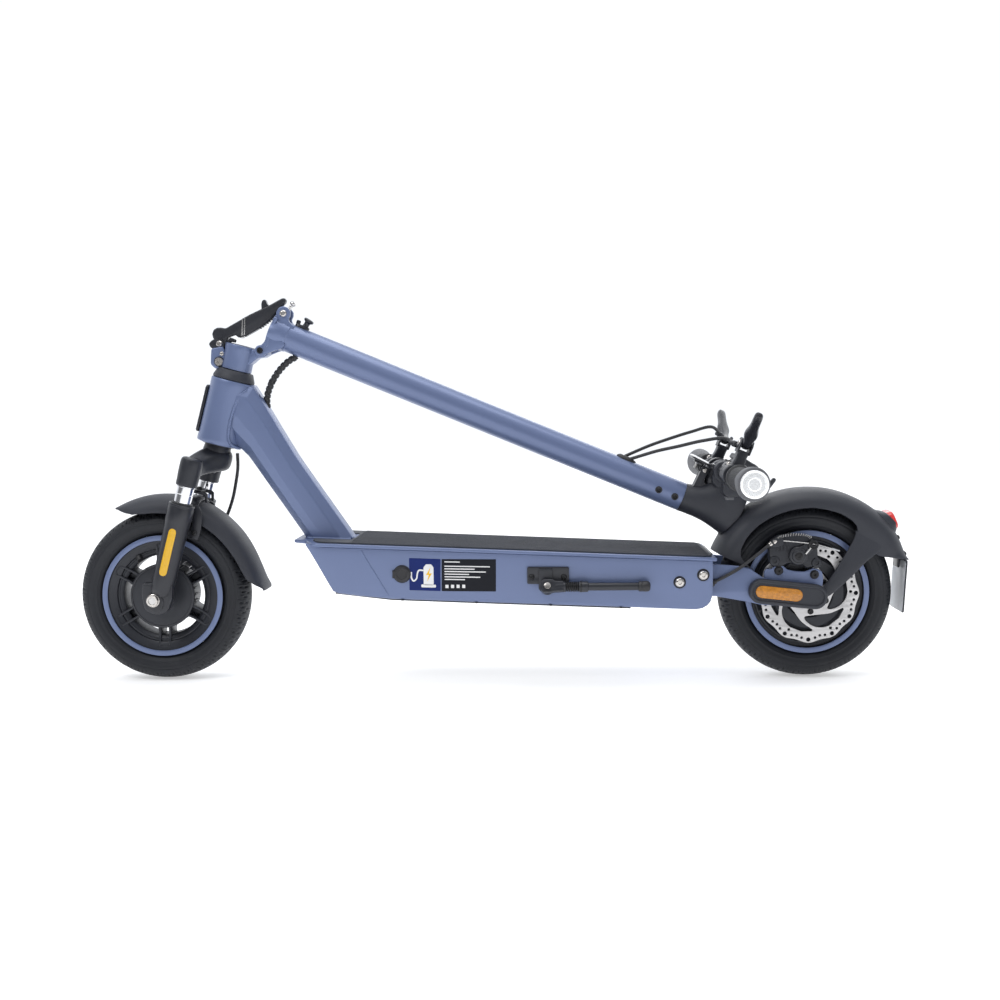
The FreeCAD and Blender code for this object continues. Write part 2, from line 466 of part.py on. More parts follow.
LH = V(812.5, 0, 282.85)                             # middle of the headlight's lower end
LD = V(7.3, 0, 30.9).normalize()
nk = [SF(655, 21), (797, 283), (812, 288), (817, 302), (819, 311), (829, 317), (842, 314), (850, 303), (862, 284), (868, 262), (868, 240), (820, 205), (800, 231), SF(655, -21)]
node("neck_cover", cut(fuse(sym(nk, 25), scyl("Dims.stem_radius - Dims.stem_wall - 0.1", 600, 660)), ycyl(156.5, RX, AZ, -60, 60), ycyl("Dims.bar_radius", D["bar_x"], D["bar_z"], -60, 60), cone(9.5, 11.5, 33.0, (LH.x - LD.x * 0.5, 0, LH.z - LD.z * 0.5), (LD.x, 0, LD.z))))
BX, BZ = D["bar_x"], D["bar_z"]
node("handlebar", cut(ycyl("Dims.bar_radius", BX, BZ, -280, 280), ycyl("Dims.bar_radius - 2.2", BX, BZ, -285, 285)))
node("grips", fuse(*[cut(ycyl("Dims.grip_radius", BX, BZ, *sorted((165 * k, 280 * k))), ycyl("Dims.bar_radius", BX, BZ, *sorted((160 * k, 290 * k)))) for k in (-1, 1)]))
node("bar_end_lights", fuse(*[ycyl("Dims.end_light_radius", BX, BZ, *sorted((280 * k, 300 * k))) for k in (-1, 1)]))


def BF(s, n):
    """from the handlebar's centre: s along the stem, n square to it"""
    return (BX + SD.x * s + SN.x * n, BZ + SD.z * s + SN.z * n)


perch = []
for k in (-1, 1):
    b = fuse(ycyl(16, BX, BZ, *sorted((96 * k, 120 * k))), pad([BF(-8, 5), BF(-8, 36), BF(8, 36), BF(8, 5)], *sorted((97 * k, 112 * k))),
             pad([BF(-9.5, 34), BF(-9.5, 54), BF(-6.6, 54), BF(-6.6, 34)], *sorted((90 * k, 118 * k))),
             pad([BF(6.6, 34), BF(6.6, 54), BF(9.5, 54), BF(9.5, 34)], *sorted((90 * k, 118 * k))))
    q = BF(-10, 46)
    perch.append(fuse(cut(b, ycyl("Dims.bar_radius", BX, BZ, -130, 130)), cyl(2.5, 20, (q[0], 104 * k, q[1]), (SD.x, 0, SD.z))))
node("lever_perches", fuse(*perch))


def lever(k):
    """the blade lies in the plane of the bar and SN: points (y, n) from the bar"""
    pts = [(98, 42), (98, 50), (110, 53), (140, 68), (172, 84), (186, 91), (191, 86), (186, 79), (150, 60), (126, 45), (112, 39.5), (104, 38.5)]
    body = doc.addObject("PartDesign::Body", uid("Body"))
    sk = body.newObject("Sketcher::SketchObject", uid("Sk"))
    sk.AttachmentSupport = (origin(body, "XY_Plane"), [""])
    sk.MapMode = "FlatFace"
    lines(sk, [(k * y, n) for y, n in pts])
    p = body.newObject("PartDesign::Pad", uid("Pad"))
    p.Profile = sk
    p.setExpression("Length", "2 * (Dims.lever_half - 0.3)")
    # local X is +Y, local Y is SN, local Z is their cross product, along the stem
    m = FreeCAD.Matrix(0, SN.x, SD.x, 0, 1, SN.y, SD.y, 0, 0, SN.z, SD.z, 0, 0, 0, 0, 1)
    if V(0, 1, 0).cross(SN).dot(SD) < 0:
        m = FreeCAD.Matrix(0, SN.x, -SD.x, 0, 1, SN.y, -SD.y, 0, 0, SN.z, -SD.z, 0, 0, 0, 0, 1)
        off = SD * 6.2
    else:
        off = SD * -6.2
    body.Placement = FreeCAD.Placement(V(BX, 0, BZ) + off, FreeCAD.Placement(m).Rotation)
    q = BF(-20, 46)
    return cut(body, cyl("2.5 + Dims.running", 40, (q[0], 104 * k, q[1]), (SD.x, 0, SD.z)))


node("left_brake_lever", lever(-1))
node("right_brake_lever", lever(1))
left_pod = cut(fuse(pad([(821.5, 319.5), (844.5, 319.5), (844.5, 271), (821.5, 271)], -78, -54), ycyl(15, BX, BZ, -92, -78)), ycyl("Dims.bar_radius", BX, BZ, -100, -40), pad([(840.5, 290.3), (846, 290.3), (846, 279.7), (840.5, 279.7)], -71.3, -60.7))
right_pod = cut(ycyl(17.5, BX, BZ, 50, 64), ycyl("Dims.bar_radius", BX, BZ, 45, 70))
node("switch_pods", fuse(left_pod, right_pod))
node("signal_button", pad([(842.6, 290), (847.5, 290), (847.5, 280), (842.6, 280)], -71, -61))
node("throttle_lever", cut(fuse(ycyl(16.5, BX, BZ, 64.3, 74), pad([(BX - 14, BZ - 4), (BX - 4, BZ - 14), (BX - 24, BZ - 36), (BX - 32, BZ - 33)], 64.3, 74)), ycyl("Dims.bar_radius + 0.3", BX, BZ, 60, 80)))
node("display", fuse(pad([(843, 323), (848, 331), (882, 309), (877, 301)], -30, 30), pad([(842, 314), (843.5, 324), (856, 318), (850, 303)], -14, 14)))
node("bell_body", cut(fuse(ycyl(14.5, BX, BZ, -150, -140), pad([BF(14, -9), BF(14, 9), BF(38, 9), BF(38, -9)], -160, -139)), ycyl("Dims.bar_radius", BX, BZ, -170, -130)))
node("bell_lever", fuse(ycyl(4, BF(42.4, 0)[0], BF(42.4, 0)[1], -154, -145), pad([BF(40.4, 2.5), BF(45, 18), BF(49, 16), BF(45.8, 0.5)], -154, -145)))
# headlight on the neck
nb = SF(655, 21)
f = (786 - nb[0]) / (797 - nb[0])
node("headlight", cut(fuse(cone(9.3, 11.2, 31.7, (LH.x, 0, LH.z), (LD.x, 0, LD.z)), sym([(786, nb[1] + f * (283 - nb[1])), (802, 305), (809, 301), (805, 288), (801.5, 284.5), (797, 283)], 7)), ycyl("Dims.bar_radius + Dims.running", D["bar_x"], D["bar_z"], -60, 60)))
upper = [SF(552, 21.1), (699, 331), (726, 341.5), (757, 351.2), (790, 360.2), (823, 366.8), BF(-9.6, 50)]
lowr = [SF(560, 21.1), (707, 326.3), (733, 334.5), (763, 341.6), (795, 349.7), (825, 353.8), BF(-9.6, 40)]


def yz(pts, k, y0, y1):
    n = len(pts)
    return [(p[0], k * (y0 + (y1 - y0) * (i / (n - 1.0)) ** 1.7), p[1]) for i, p in enumerate(pts)]


node("lever_cables", feature([tube(yz(upper, 1, 4, 92), D["cable_radius"], "right lever cable"), tube(yz(lowr, -1, 4, 92), D["cable_radius"], "left lever cable")], "c"))
node("cable_loom", feature([tube([(204.2, 0, 479.0), (190.6, 0, 471.3), (177.0, 0, 457.9), (166.4, 0, 442.6), (159.8, 0, 426.2), (157.8, 0, 412.3)], D["loom_radius"], "cable_loom")], "c"))
doc.recompute()
bad = [o.Name + " " + str(o.State) for o in doc.Objects if "Invalid" in o.State or "Error" in o.State]
assert not bad, bad
os.makedirs("parts", exist_ok=True)
lo, hi = V(1e9, 1e9, 1e9), V(-1e9, -1e9, -1e9)
for name, o in nodes.items():
    s = o.Shape
    assert not s.isNull() and s.isValid() and s.Solids, name
    b = s.BoundBox
    lo = V(min(lo.x, b.XMin), min(lo.y, b.YMin), min(lo.z, b.ZMin))
    hi = V(max(hi.x, b.XMax), max(hi.y, b.YMax), max(hi.z, b.ZMax))
    s.exportStep("parts/%s.step" % name)
    print("%-22s solids %2d  volume %10.0f  x %.1f..%.1f y %.1f..%.1f z %.1f..%.1f" % (name, len(s.Solids), s.Volume, b.XMin, b.XMax, b.YMin, b.YMax, b.ZMin, b.ZMax))
print(len(nodes), "nodes, box", lo, hi)
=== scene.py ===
import bpy, bmesh, json, math
import numpy as np
from mathutils import Vector, Matrix

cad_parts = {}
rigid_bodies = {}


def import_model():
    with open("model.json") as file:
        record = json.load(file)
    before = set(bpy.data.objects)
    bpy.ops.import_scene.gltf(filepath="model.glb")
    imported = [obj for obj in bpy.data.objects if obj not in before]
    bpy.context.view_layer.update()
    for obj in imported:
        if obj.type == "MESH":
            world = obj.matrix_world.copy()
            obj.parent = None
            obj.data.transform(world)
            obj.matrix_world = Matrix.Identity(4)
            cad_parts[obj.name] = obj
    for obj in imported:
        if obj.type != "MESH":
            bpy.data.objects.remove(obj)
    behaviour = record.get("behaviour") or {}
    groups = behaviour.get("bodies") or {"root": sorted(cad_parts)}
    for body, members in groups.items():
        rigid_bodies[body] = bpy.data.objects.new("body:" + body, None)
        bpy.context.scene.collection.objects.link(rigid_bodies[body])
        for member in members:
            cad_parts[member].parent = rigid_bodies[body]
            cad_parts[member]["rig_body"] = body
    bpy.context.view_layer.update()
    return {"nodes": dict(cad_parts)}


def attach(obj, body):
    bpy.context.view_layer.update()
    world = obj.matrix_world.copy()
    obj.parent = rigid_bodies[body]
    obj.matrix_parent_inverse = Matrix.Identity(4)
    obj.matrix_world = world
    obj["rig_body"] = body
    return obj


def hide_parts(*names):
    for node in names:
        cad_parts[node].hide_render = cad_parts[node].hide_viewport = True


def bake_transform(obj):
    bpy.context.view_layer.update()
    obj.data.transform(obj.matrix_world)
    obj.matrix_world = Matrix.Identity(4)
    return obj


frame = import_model()
N = frame["nodes"]
SHIFT = 483.1
pi, sin, cos, rad = math.pi, math.sin, math.cos, math.radians


def P(p):
    """design frame in millimetres to the row frame in metres"""
    return Vector(((p[0] - SHIFT) / 1000.0, p[1] / 1000.0, p[2] / 1000.0))


# ---- camera, made first ---------------------------------------------------------------------------
def make_camera():
    C = P((571.03, -1934.65, 414.96))
    yaw, pitch, roll = rad(-2.034), rad(4.479), rad(-0.657)
    f = Vector((sin(yaw), cos(yaw), 0))
    r = Vector((cos(yaw), -sin(yaw), 0))
    u = Vector((0, 0, 1))
    f2 = f * cos(pitch) - u * sin(pitch)
    u2 = u * cos(pitch) + f * sin(pitch)
    r3 = r * cos(roll) + u2 * sin(roll)
    u3 = u2 * cos(roll) - r * sin(roll)
    cd = bpy.data.cameras.new("Camera")
    cd.lens, cd.sensor_width, cd.sensor_height = 47.086, 36.0, 36.0
    cd.clip_start, cd.clip_end = 0.05, 50
    cam = bpy.data.objects.new("Camera", cd)
    bpy.context.scene.collection.objects.link(cam)
    m = Matrix.Identity(4)
    for i in range(3):
        m[i][0], m[i][1], m[i][2], m[i][3] = r3[i], u3[i], -f2[i], C[i]
    cam.matrix_world = m
    bpy.context.scene.camera = cam


make_camera()

# ---- frames of reference, as in the CAD ---------------------------------------------------------------
rk = rad(15.0)
A = Vector((sin(rk), 0, cos(rk)))
W = Vector((cos(rk), 0, -sin(rk)))
HT = Vector((108.6, 0, 444.8))
al = rad(-22.6)
SD = Vector((cos(al), 0, sin(al)))
SN = Vector((-sin(al), 0, cos(al)))
PIN = Vector((153.6, 0, 487.6))
UPV = HT + A * 53.4 - PIN
fr = rad(97.6)
M0 = Vector((PIN.x + UPV.x * cos(fr) + UPV.z * sin(fr), 0, PIN.z - UPV.x * sin(fr) + UPV.z * cos(fr)))
X, Y, Z = Vector((1, 0, 0)), Vector((0, 1, 0)), Vector((0, 0, 1))
BAR = Vector((831.0, 0, 303.0))
FW = Vector((0, 0, 127.0))
RW = Vector((950.0, 0, 127.0))


def HF(w, u, y=0):
    return HT + W * w + A * u + Y * y


def SF(s, n, y=0):
    return M0 + SD * s + SN * n + Y * y


def BF(s, n, y=0):
    return BAR + SD * s + SN * n + Y * y


def LP(t, y):
    return Vector((6.0 + A.x * t, y, 127 + A.z * t))


la = rad(29.2)
LC = Vector((90.8, 0, 498.6))


def LF(a, p, y=0):
    return Vector((LC.x + a * cos(la) - p * sin(la), y, LC.z + a * sin(la) + p * cos(la)))


# ---- materials ------------------------------------------------------------------------------------------
MATS = {}


def material(name, color, rough=0.5, metal=0.0, vary=0.12, vscale=6.0, rvary=0.08, grain=0.0, gscale=900.0, gkind="noise", coat=0.0, coat_rough=0.1,
             spec=0.5, sheen=0.0, aniso=0.0, waves=None, dust=None, transmission=0.0, ior=1.5, emission=None, speck=0.0, edge=0.0):
    m = bpy.data.materials.new(name)
    m.use_nodes = True
    nt = m.node_tree
    b = nt.nodes["Principled BSDF"]
    L = nt.links.new
    b.inputs["Metallic"].default_value = metal
    b.inputs["Specular IOR Level"].default_value = spec
    b.inputs["IOR"].default_value = ior
    b.inputs["Coat Weight"].default_value = coat
    b.inputs["Coat Roughness"].default_value = coat_rough
    b.inputs["Sheen Weight"].default_value = sheen
    b.inputs["Transmission Weight"].default_value = transmission
    b.inputs["Anisotropic"].default_value = aniso
    if emission:
        b.inputs["Emission Color"].default_value = (*emission[0], 1)
        b.inputs["Emission Strength"].default_value = emission[1]
    tc = nt.nodes.new("ShaderNodeTexCoord")
    n1 = nt.nodes.new("ShaderNodeTexNoise")
    n1.inputs["Scale"].default_value = vscale
    n1.inputs["Detail"].default_value = 6
    n1.inputs["Roughness"].default_value = 0.6
    L(tc.outputs["Object"], n1.inputs["Vector"])
    ramp = nt.nodes.new("ShaderNodeValToRGB")
    c = color
    ramp.color_ramp.elements[0].position, ramp.color_ramp.elements[1].position = 0.3, 0.7
    ramp.color_ramp.elements[0].color = (c[0] * (1 - vary), c[1] * (1 - vary), c[2] * (1 - vary), 1)
    ramp.color_ramp.elements[1].color = (min(1, c[0] * (1 + vary)), min(1, c[1] * (1 + vary)), min(1, c[2] * (1 + vary)), 1)
    L(n1.outputs["Fac"], ramp.inputs["Fac"])
    out = ramp.outputs["Color"]
    if speck:
        n3 = nt.nodes.new("ShaderNodeTexVoronoi")
        n3.inputs["Scale"].default_value = 1600
        L(tc.outputs["Object"], n3.inputs["Vector"])
        r3 = nt.nodes.new("ShaderNodeValToRGB")
        r3.color_ramp.elements[0].position, r3.color_ramp.elements[1].position = 0.0, 0.35
        r3.color_ramp.elements[0].color = (1 + speck, 1 + speck, 1 + speck, 1)
        r3.color_ramp.elements[1].color = (1, 1, 1, 1)
        L(n3.outputs["Distance"], r3.inputs["Fac"])
        mx = nt.nodes.new("ShaderNodeMix")
        mx.data_type, mx.blend_type = "RGBA", "MULTIPLY"
        mx.inputs["Factor"].default_value = 1.0
        L(out, mx.inputs["A"])
        L(r3.outputs["Color"], mx.inputs["B"])
        out = mx.outputs["Result"]
    if dust:
        # paler scuffs in the low-frequency pattern
        n4 = nt.nodes.new("ShaderNodeTexNoise")
        n4.inputs["Scale"].default_value = 45
        n4.inputs["Detail"].default_value = 9
        n4.inputs["Roughness"].default_value = 0.7
        L(tc.outputs["Object"], n4.inputs["Vector"])
        r4 = nt.nodes.new("ShaderNodeValToRGB")
        r4.color_ramp.elements[0].position, r4.color_ramp.elements[1].position = 0.55, 0.8
        r4.color_ramp.elements[0].color, r4.color_ramp.elements[1].color = (0, 0, 0, 1), (1, 1, 1, 1)
        L(n4.outputs["Fac"], r4.inputs["Fac"])
        mx = nt.nodes.new("ShaderNodeMix")
        mx.data_type = "RGBA"
        mx.inputs["B"].default_value = (*dust, 1)
        L(r4.outputs["Color"], mx.inputs["Factor"])
        L(out, mx.inputs["A"])
        out = mx.outputs["Result"]
    L(out, b.inputs["Base Color"])
    n2 = nt.nodes.new("ShaderNodeTexNoise")
    n2.inputs["Scale"].default_value = vscale * 9
    n2.inputs["Detail"].default_value = 5
    L(tc.outputs["Object"], n2.inputs["Vector"])
    mr = nt.nodes.new("ShaderNodeMapRange")
    mr.inputs["To Min"].default_value = max(0.02, rough - rvary)
    mr.inputs["To Max"].default_value = min(1, rough + rvary)
    L(n2.outputs["Fac"], mr.inputs["Value"])
    L(mr.outputs["Result"], b.inputs["Roughness"])
    normal = None
    if grain:
        if gkind == "voronoi":
            g = nt.nodes.new("ShaderNodeTexVoronoi")
            g.inputs["Scale"].default_value = gscale
            gout = g.outputs["Distance"]
        else:
            g = nt.nodes.new("ShaderNodeTexNoise")
            g.inputs["Scale"].default_value = gscale
            g.inputs["Detail"].default_value = 3
            gout = g.outputs["Fac"]
        L(tc.outputs["Object"], g.inputs["Vector"])
        bp = nt.nodes.new("ShaderNodeBump")
        bp.inputs["Strength"].default_value = grain
        bp.inputs["Distance"].default_value = 0.0004
        L(gout, bp.inputs["Height"])
        normal = bp
    if waves:
        kind, direction, scale, strength, rotation = waves
        mp = nt.nodes.new("ShaderNodeMapping")
        mp.inputs["Rotation"].default_value = rotation
        L(tc.outputs["Object"], mp.inputs["Vector"])
        wv = nt.nodes.new("ShaderNodeTexWave")
        wv.wave_type = kind
        if kind == "BANDS":
            wv.bands_direction = direction
        else:
            wv.rings_direction = direction
        wv.inputs["Scale"].default_value = scale
        wv.inputs["Distortion"].default_value = 0.3
        L(mp.outputs["Vector"], wv.inputs["Vector"])
        bp2 = nt.nodes.new("ShaderNodeBump")
        bp2.inputs["Strength"].default_value = strength
        bp2.inputs["Distance"].default_value = 0.0005
        L(wv.outputs["Fac"], bp2.inputs["Height"])
        if normal:
            L(normal.outputs["Normal"], bp2.inputs["Normal"])
        normal = bp2
    if normal:
        L(normal.outputs["Normal"], b.inputs["Normal"])
    MATS[name] = m
    return m


BLUE = (0.136, 0.178, 0.318)
paint = material("lavender_paint", BLUE, 0.36, 0.25, vary=0.03, vscale=3, rvary=0.04, grain=0.12, gscale=1400, coat=0.22, coat_rough=0.30, speck=0.10)
plastic = material("black_plastic", (0.025, 0.0275, 0.037), 0.50, 0, vary=0.10, vscale=8, rvary=0.05, grain=0.35, gscale=1300, gkind="voronoi", spec=0.5)
smooth_plastic = material("smooth_plastic", (0.018, 0.0195, 0.026), 0.32, 0, vary=0.08, rvary=0.05, grain=0.08, gscale=1100)
blackmetal = material("black_metal", (0.019, 0.0205, 0.027), 0.36, 0.15, vary=0.10, vscale=14, rvary=0.07, grain=0.22, gscale=1500, coat=0.15, coat_rough=0.3)
castmetal = material("cast_black", (0.019, 0.021, 0.028), 0.42, 0.25, vary=0.12, vscale=20, rvary=0.08, grain=0.5, gscale=900, coat=0.1, coat_rough=0.3)
tyre_m = material("tyre_rubber", (0.012, 0.0135, 0.018), 0.56, 0, vary=0.14, vscale=10, rvary=0.08, grain=0.4, gscale=700, dust=(0.024, 0.026, 0.031), spec=0.4)
rubber = material("cable_rubber", (0.020, 0.020, 0.023), 0.46, 0, vary=0.1, vscale=30, rvary=0.06, grain=0.3, gscale=1200)
grip_m = material("grip_rubber", (0.034, 0.035, 0.038), 0.66, 0, vary=0.1, vscale=22, rvary=0.06, grain=0.5, gscale=800)
mat_m = material("deck_rubber", (0.050, 0.054, 0.066), 0.68, 0, vary=0.14, vscale=18, rvary=0.08, grain=0.6, gscale=620, dust=(0.06, 0.062, 0.066))
chrome = material("chrome", (0.82, 0.82, 0.84), 0.09, 1.0, vary=0.02, rvary=0.03, grain=0.02, gscale=500)
steel = material("machined_steel", (0.62, 0.61, 0.60), 0.28, 1.0, vary=0.05, vscale=30, rvary=0.08, grain=0.15, gscale=900)
rotor_m = material("rotor_steel", (0.58, 0.57, 0.57), 0.34, 0.5, vary=0.05, vscale=25, rvary=0.07, grain=0.06, gscale=900, aniso=0.3)
boltm = material("zinc_bolt", (0.60, 0.57, 0.54), 0.24, 1.0, vary=0.08, vscale=60, rvary=0.08, grain=0.2, gscale=1200)
blackbolt = material("black_bolt", (0.018, 0.018, 0.020), 0.38, 0.4, vary=0.1, vscale=60, rvary=0.08, grain=0.25, gscale=1200)
amber = material("amber_reflector", (0.52, 0.20, 0.012), 0.22, 0, vary=0.25, vscale=260, rvary=0.06, grain=1.0, gscale=620, gkind="voronoi", coat=0.5, coat_rough=0.05)
yellow = material("yellow_reflector", (0.74, 0.42, 0.006), 0.24, 0, vary=0.08, vscale=200, rvary=0.06, grain=0.8, gscale=900, gkind="voronoi", coat=0.5, coat_rough=0.06)
red = material("red_lens", (0.72, 0.03, 0.025), 0.15, 0, vary=0.12, vscale=160, rvary=0.05, grain=0.6, gscale=700, gkind="voronoi", coat=0.6, coat_rough=0.05)
# reflector_white_painted_glow carries a painted glow: emission 0.45 lights the reflector lenses as if they shone
white_lens_painted_glow = material("reflector_white_painted_glow", (0.78, 0.80, 0.84), 0.16, 0.15, vary=0.1, vscale=220, rvary=0.06, grain=0.5, gscale=700, gkind="voronoi", coat=0.6, coat_rough=0.05, emission=((1, 1, 1), 0.45))
clear = material("clear_lens", (0.93, 0.95, 0.97), 0.05, 0, vary=0.02, rvary=0.02, grain=0.05, gscale=400, transmission=0.85, ior=1.45, emission=((1, 1, 1), 0.22))
# silvered_inside_painted_glow carries a painted reflection: emission 0.22 makes the headlight reflector, bar-end bezels
# and LED rings glow bright
silver_painted_glow = material("silvered_inside_painted_glow", (0.88, 0.88, 0.90), 0.16, 0.6, vary=0.06, vscale=80, rvary=0.05, grain=0.6, gscale=520, gkind="voronoi", emission=((1, 1, 1), 0.22))
sheetm = material("plate_sheet", (0.56, 0.58, 0.61), 0.42, 0.35, vary=0.10, vscale=40, rvary=0.08, grain=0.4, gscale=1500, gkind="voronoi")
glassm = material("display_glass", (0.010, 0.011, 0.014), 0.07, 0, vary=0.2, vscale=20, rvary=0.02, grain=0.02, gscale=300, coat=1.0, coat_rough=0.03)
sticker = material("blue_sticker", (0.006, 0.018, 0.130), 0.55, 0, vary=0.06, vscale=20, rvary=0.04, grain=0.1, gscale=900, spec=0.25)
label = material("black_label", (0.006, 0.007, 0.012), 0.55, 0, vary=0.08, vscale=20, rvary=0.05, grain=0.1, gscale=900, spec=0.25)
ink_white = material("white_print", (0.80, 0.80, 0.80), 0.45, 0, vary=0.03, vscale=60, rvary=0.05, grain=0.05, gscale=900)
ink_yellow = material("yellow_print", (0.85, 0.50, 0.02), 0.45, 0, vary=0.03, vscale=60, rvary=0.05, grain=0.05, gscale=900)
end_grey = material("end_grey", (0.105, 0.108, 0.118), 0.62, 0, vary=0.08, vscale=14, rvary=0.06, grain=0.5, gscale=900)
alu = material("cast_aluminium", (0.55, 0.56, 0.58), 0.4, 1.0, vary=0.06, vscale=30, rvary=0.08, grain=0.3, gscale=700)
wrap = material("cell_wrap", (0.02, 0.06, 0.22), 0.3, 0, vary=0.1, vscale=25, rvary=0.06, grain=0.2, gscale=500)


# ---- mesh helpers ---------------------------------------------------------------------------------------
def finish_mesh(name, me, mat, body, smooth=35, replaces=(), weld=True):
    bm = bmesh.new()
    bm.from_mesh(me)
    if weld:
        bmesh.ops.remove_doubles(bm, verts=bm.verts, dist=2e-6)
        bmesh.ops.dissolve_degenerate(bm, edges=bm.edges, dist=1e-7)
    bmesh.ops.recalc_face_normals(bm, faces=bm.faces)
    bm.to_mesh(me)
    bm.free()
    me.polygons.foreach_set("use_smooth", [True] * len(me.polygons))
    me.set_sharp_from_angle(angle=rad(smooth))
    me.materials.clear()
    me.materials.append(mat)
    o = bpy.data.objects.new(name, me)
    bpy.context.scene.collection.objects.link(o)
    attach(o, body)
    if replaces:
        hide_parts(*replaces)
    return o


def mesh(name, verts, faces, mat, body, bevel=0.0, seg=2, sub=0, smooth=35, replaces=(), bang=28):
    me = bpy.data.meshes.new(name)
    me.from_pydata([P(v) for v in verts], [], faces)
    bm = bmesh.new()
    bm.from_mesh(me)
    bmesh.ops.remove_doubles(bm, verts=bm.verts, dist=1e-6)
    bmesh.ops.recalc_face_normals(bm, faces=bm.faces)
    if bevel:
        es = [e for e in bm.edges if len(e.link_faces) == 2 and e.calc_face_angle(0) > rad(bang)]
        bmesh.ops.bevel(bm, geom=es, offset=bevel / 1000.0, offset_type="OFFSET", segments=seg, affect="EDGES", profile=0.5, clamp_overlap=True)
    bm.to_mesh(me)
    bm.free()
    if sub:
        t = bpy.data.objects.new("tmp", me)
        bpy.context.scene.collection.objects.link(t)
        md = t.modifiers.new("s", "SUBSURF")
        md.levels = md.render_levels = sub
        dg = bpy.context.evaluated_depsgraph_get()
        m2 = bpy.data.meshes.new_from_object(t.evaluated_get(dg))
        bpy.data.objects.remove(t)
        m2.name = name
        me = m2
    return finish_mesh(name, me, mat, body, smooth, replaces)


def loft_data(rings, closed_ring=True, cap0=True, cap1=True, loop=False):
    n = len(rings[0])
    verts = [tuple(p) for r in rings for p in r]
    faces = []
    m = len(rings)
    for i in range(m if loop else m - 1):
        j = (i + 1) % m
        for k in range(n if closed_ring else n - 1):
            l = (k + 1) % n
            faces.append((i * n + k, i * n + l, j * n + l, j * n + k))
    if cap0 and not loop:
        faces.append(tuple(range(n)))
    if cap1 and not loop:
        faces.append(tuple((m - 1) * n + k for k in reversed(range(n))))
    return verts, faces


def loft(name, rings, mat, body, cap0=True, cap1=True, loop=False, **kw):
    v, f = loft_data(rings, True, cap0, cap1, loop)
    return mesh(name, v, f, mat, body, **kw)


def merge(parts):
    """joins (verts, faces) lists"""
    V_, F_ = [], []
    for v, f in parts:
        k = len(V_)
        V_ += list(v)
        F_ += [tuple(i + k for i in q) for q in f]
    return V_, F_


def axes(d):
    d = Vector(d).normalized()
    ref = Vector((0, 1, 0)) if abs(d.y) < 0.9 else Vector((1, 0, 0))
    u = ref.cross(d).normalized()
    return u, d.cross(u).normalized(), d


def lathe_data(prof, o, d, n=48, closed=False, a0=0.0, a1=360.0):
    """prof: (radius, distance along d). closed joins its ends, as for a ring"""
    u, v, d = axes(d)
    o = Vector(o)
    full = abs(a1 - a0) >= 359.9
    cnt = n if full else n + 1
    rings = []
    for i in range(cnt):
        a = rad(a0 + (a1 - a0) * i / n)
        e = u * cos(a) + v * sin(a)
        rings.append([o + d * t + e * r for r, t in prof])
    return loft_data(rings, closed, not full and closed, not full and closed, loop=full)


def lathe(name, prof, o, d, mat, body, n=48, closed=False, **kw):
    v, f = lathe_data(prof, o, d, n, closed)
    return mesh(name, v, f, mat, body, **kw)


def solid(r, h, ch=0.6, n=2, bore=0.0):
    """a turned disc's profile with rounded edges, along its axis from 0 to h"""
    if bore:
        return [(bore, ch), (bore + ch * 0.6, 0), (r - ch, 0)] + [(r - ch + ch * sin(rad(a)), ch - ch * cos(rad(a))) for a in (30, 60, 90)] + [(r - ch + ch * cos(rad(a)), h - ch + ch * sin(rad(a))) for a in (0, 30, 60, 90)] + [(bore + ch * 0.6, h), (bore, h - ch)]
    return [(0, 0), (r - ch, 0)] + [(r - ch + ch * sin(rad(a)), ch - ch * cos(rad(a))) for a in (30, 60, 90)] + [(r - ch + ch * cos(rad(a)), h - ch + ch * sin(rad(a))) for a in (0, 30, 60, 90)] + [(0, h)]


def smooth_path(pts, per=8):
    """Catmull-Rom through the points"""
    Q = [Vector(p) for p in pts]
    Q = [Q[0] * 2 - Q[1]] + Q + [Q[-1] * 2 - Q[-2]]
    out = []
    for i in range(1, len(Q) - 2):
        for k in range(per):
            t = k / per
            a, b, c, d = Q[i - 1], Q[i], Q[i + 1], Q[i + 2]
            out.append(0.5 * ((2 * b) + (c - a) * t + (2 * a - 5 * b + 4 * c - d) * t * t + (3 * b - a - 3 * c + d) * t ** 3))
    out.append(Q[-2])
    return out


def sweep_data(path, section, up=Y, scale=None, caps=True):
    """section: list of (a, b), or a function of (i, t) giving one; a is along up x tangent, b along up"""
    n = len(path)
    rings = []
    for i, p in enumerate(path):
        t = (path[min(i + 1, n - 1)] - path[max(i - 1, 0)]).normalized()
        side = Vector(up).cross(t)
        side = side.normalized() if side.length > 1e-6 else Vector((1, 0, 0))
        vv = t.cross(side).normalized()
        sec = section(i, i / (n - 1)) if callable(section) else section
        k = scale(i / (n - 1)) if scale else 1.0
        rings.append([p + side * a * k + vv * b * k for a, b in sec])
    return loft_data(rings, True, caps, caps)


def circle(r, n=16):
    return [(r * cos(2 * pi * i / n), r * sin(2 * pi * i / n)) for i in range(n)]


def rrect(w, h, r, n=4):
    out = []
    for cx, cy, a in ((w / 2 - r, h / 2 - r, 0), (-w / 2 + r, h / 2 - r, 90), (-w / 2 + r, -h / 2 + r, 180), (w / 2 - r, -h / 2 + r, 270)):
        for i in range(n + 1):
            t = rad(a + 90 * i / n)
            out.append((cx + r * cos(t), cy + r * sin(t)))
    return out


def superell(a, b, e=2.5, n=32):
    out = []
    for i in range(n):
        t = 2 * pi * i / n
        c, s = cos(t), sin(t)
        out.append((a * math.copysign(abs(c) ** (2 / e), c), b * math.copysign(abs(s) ** (2 / e), s)))
    return out


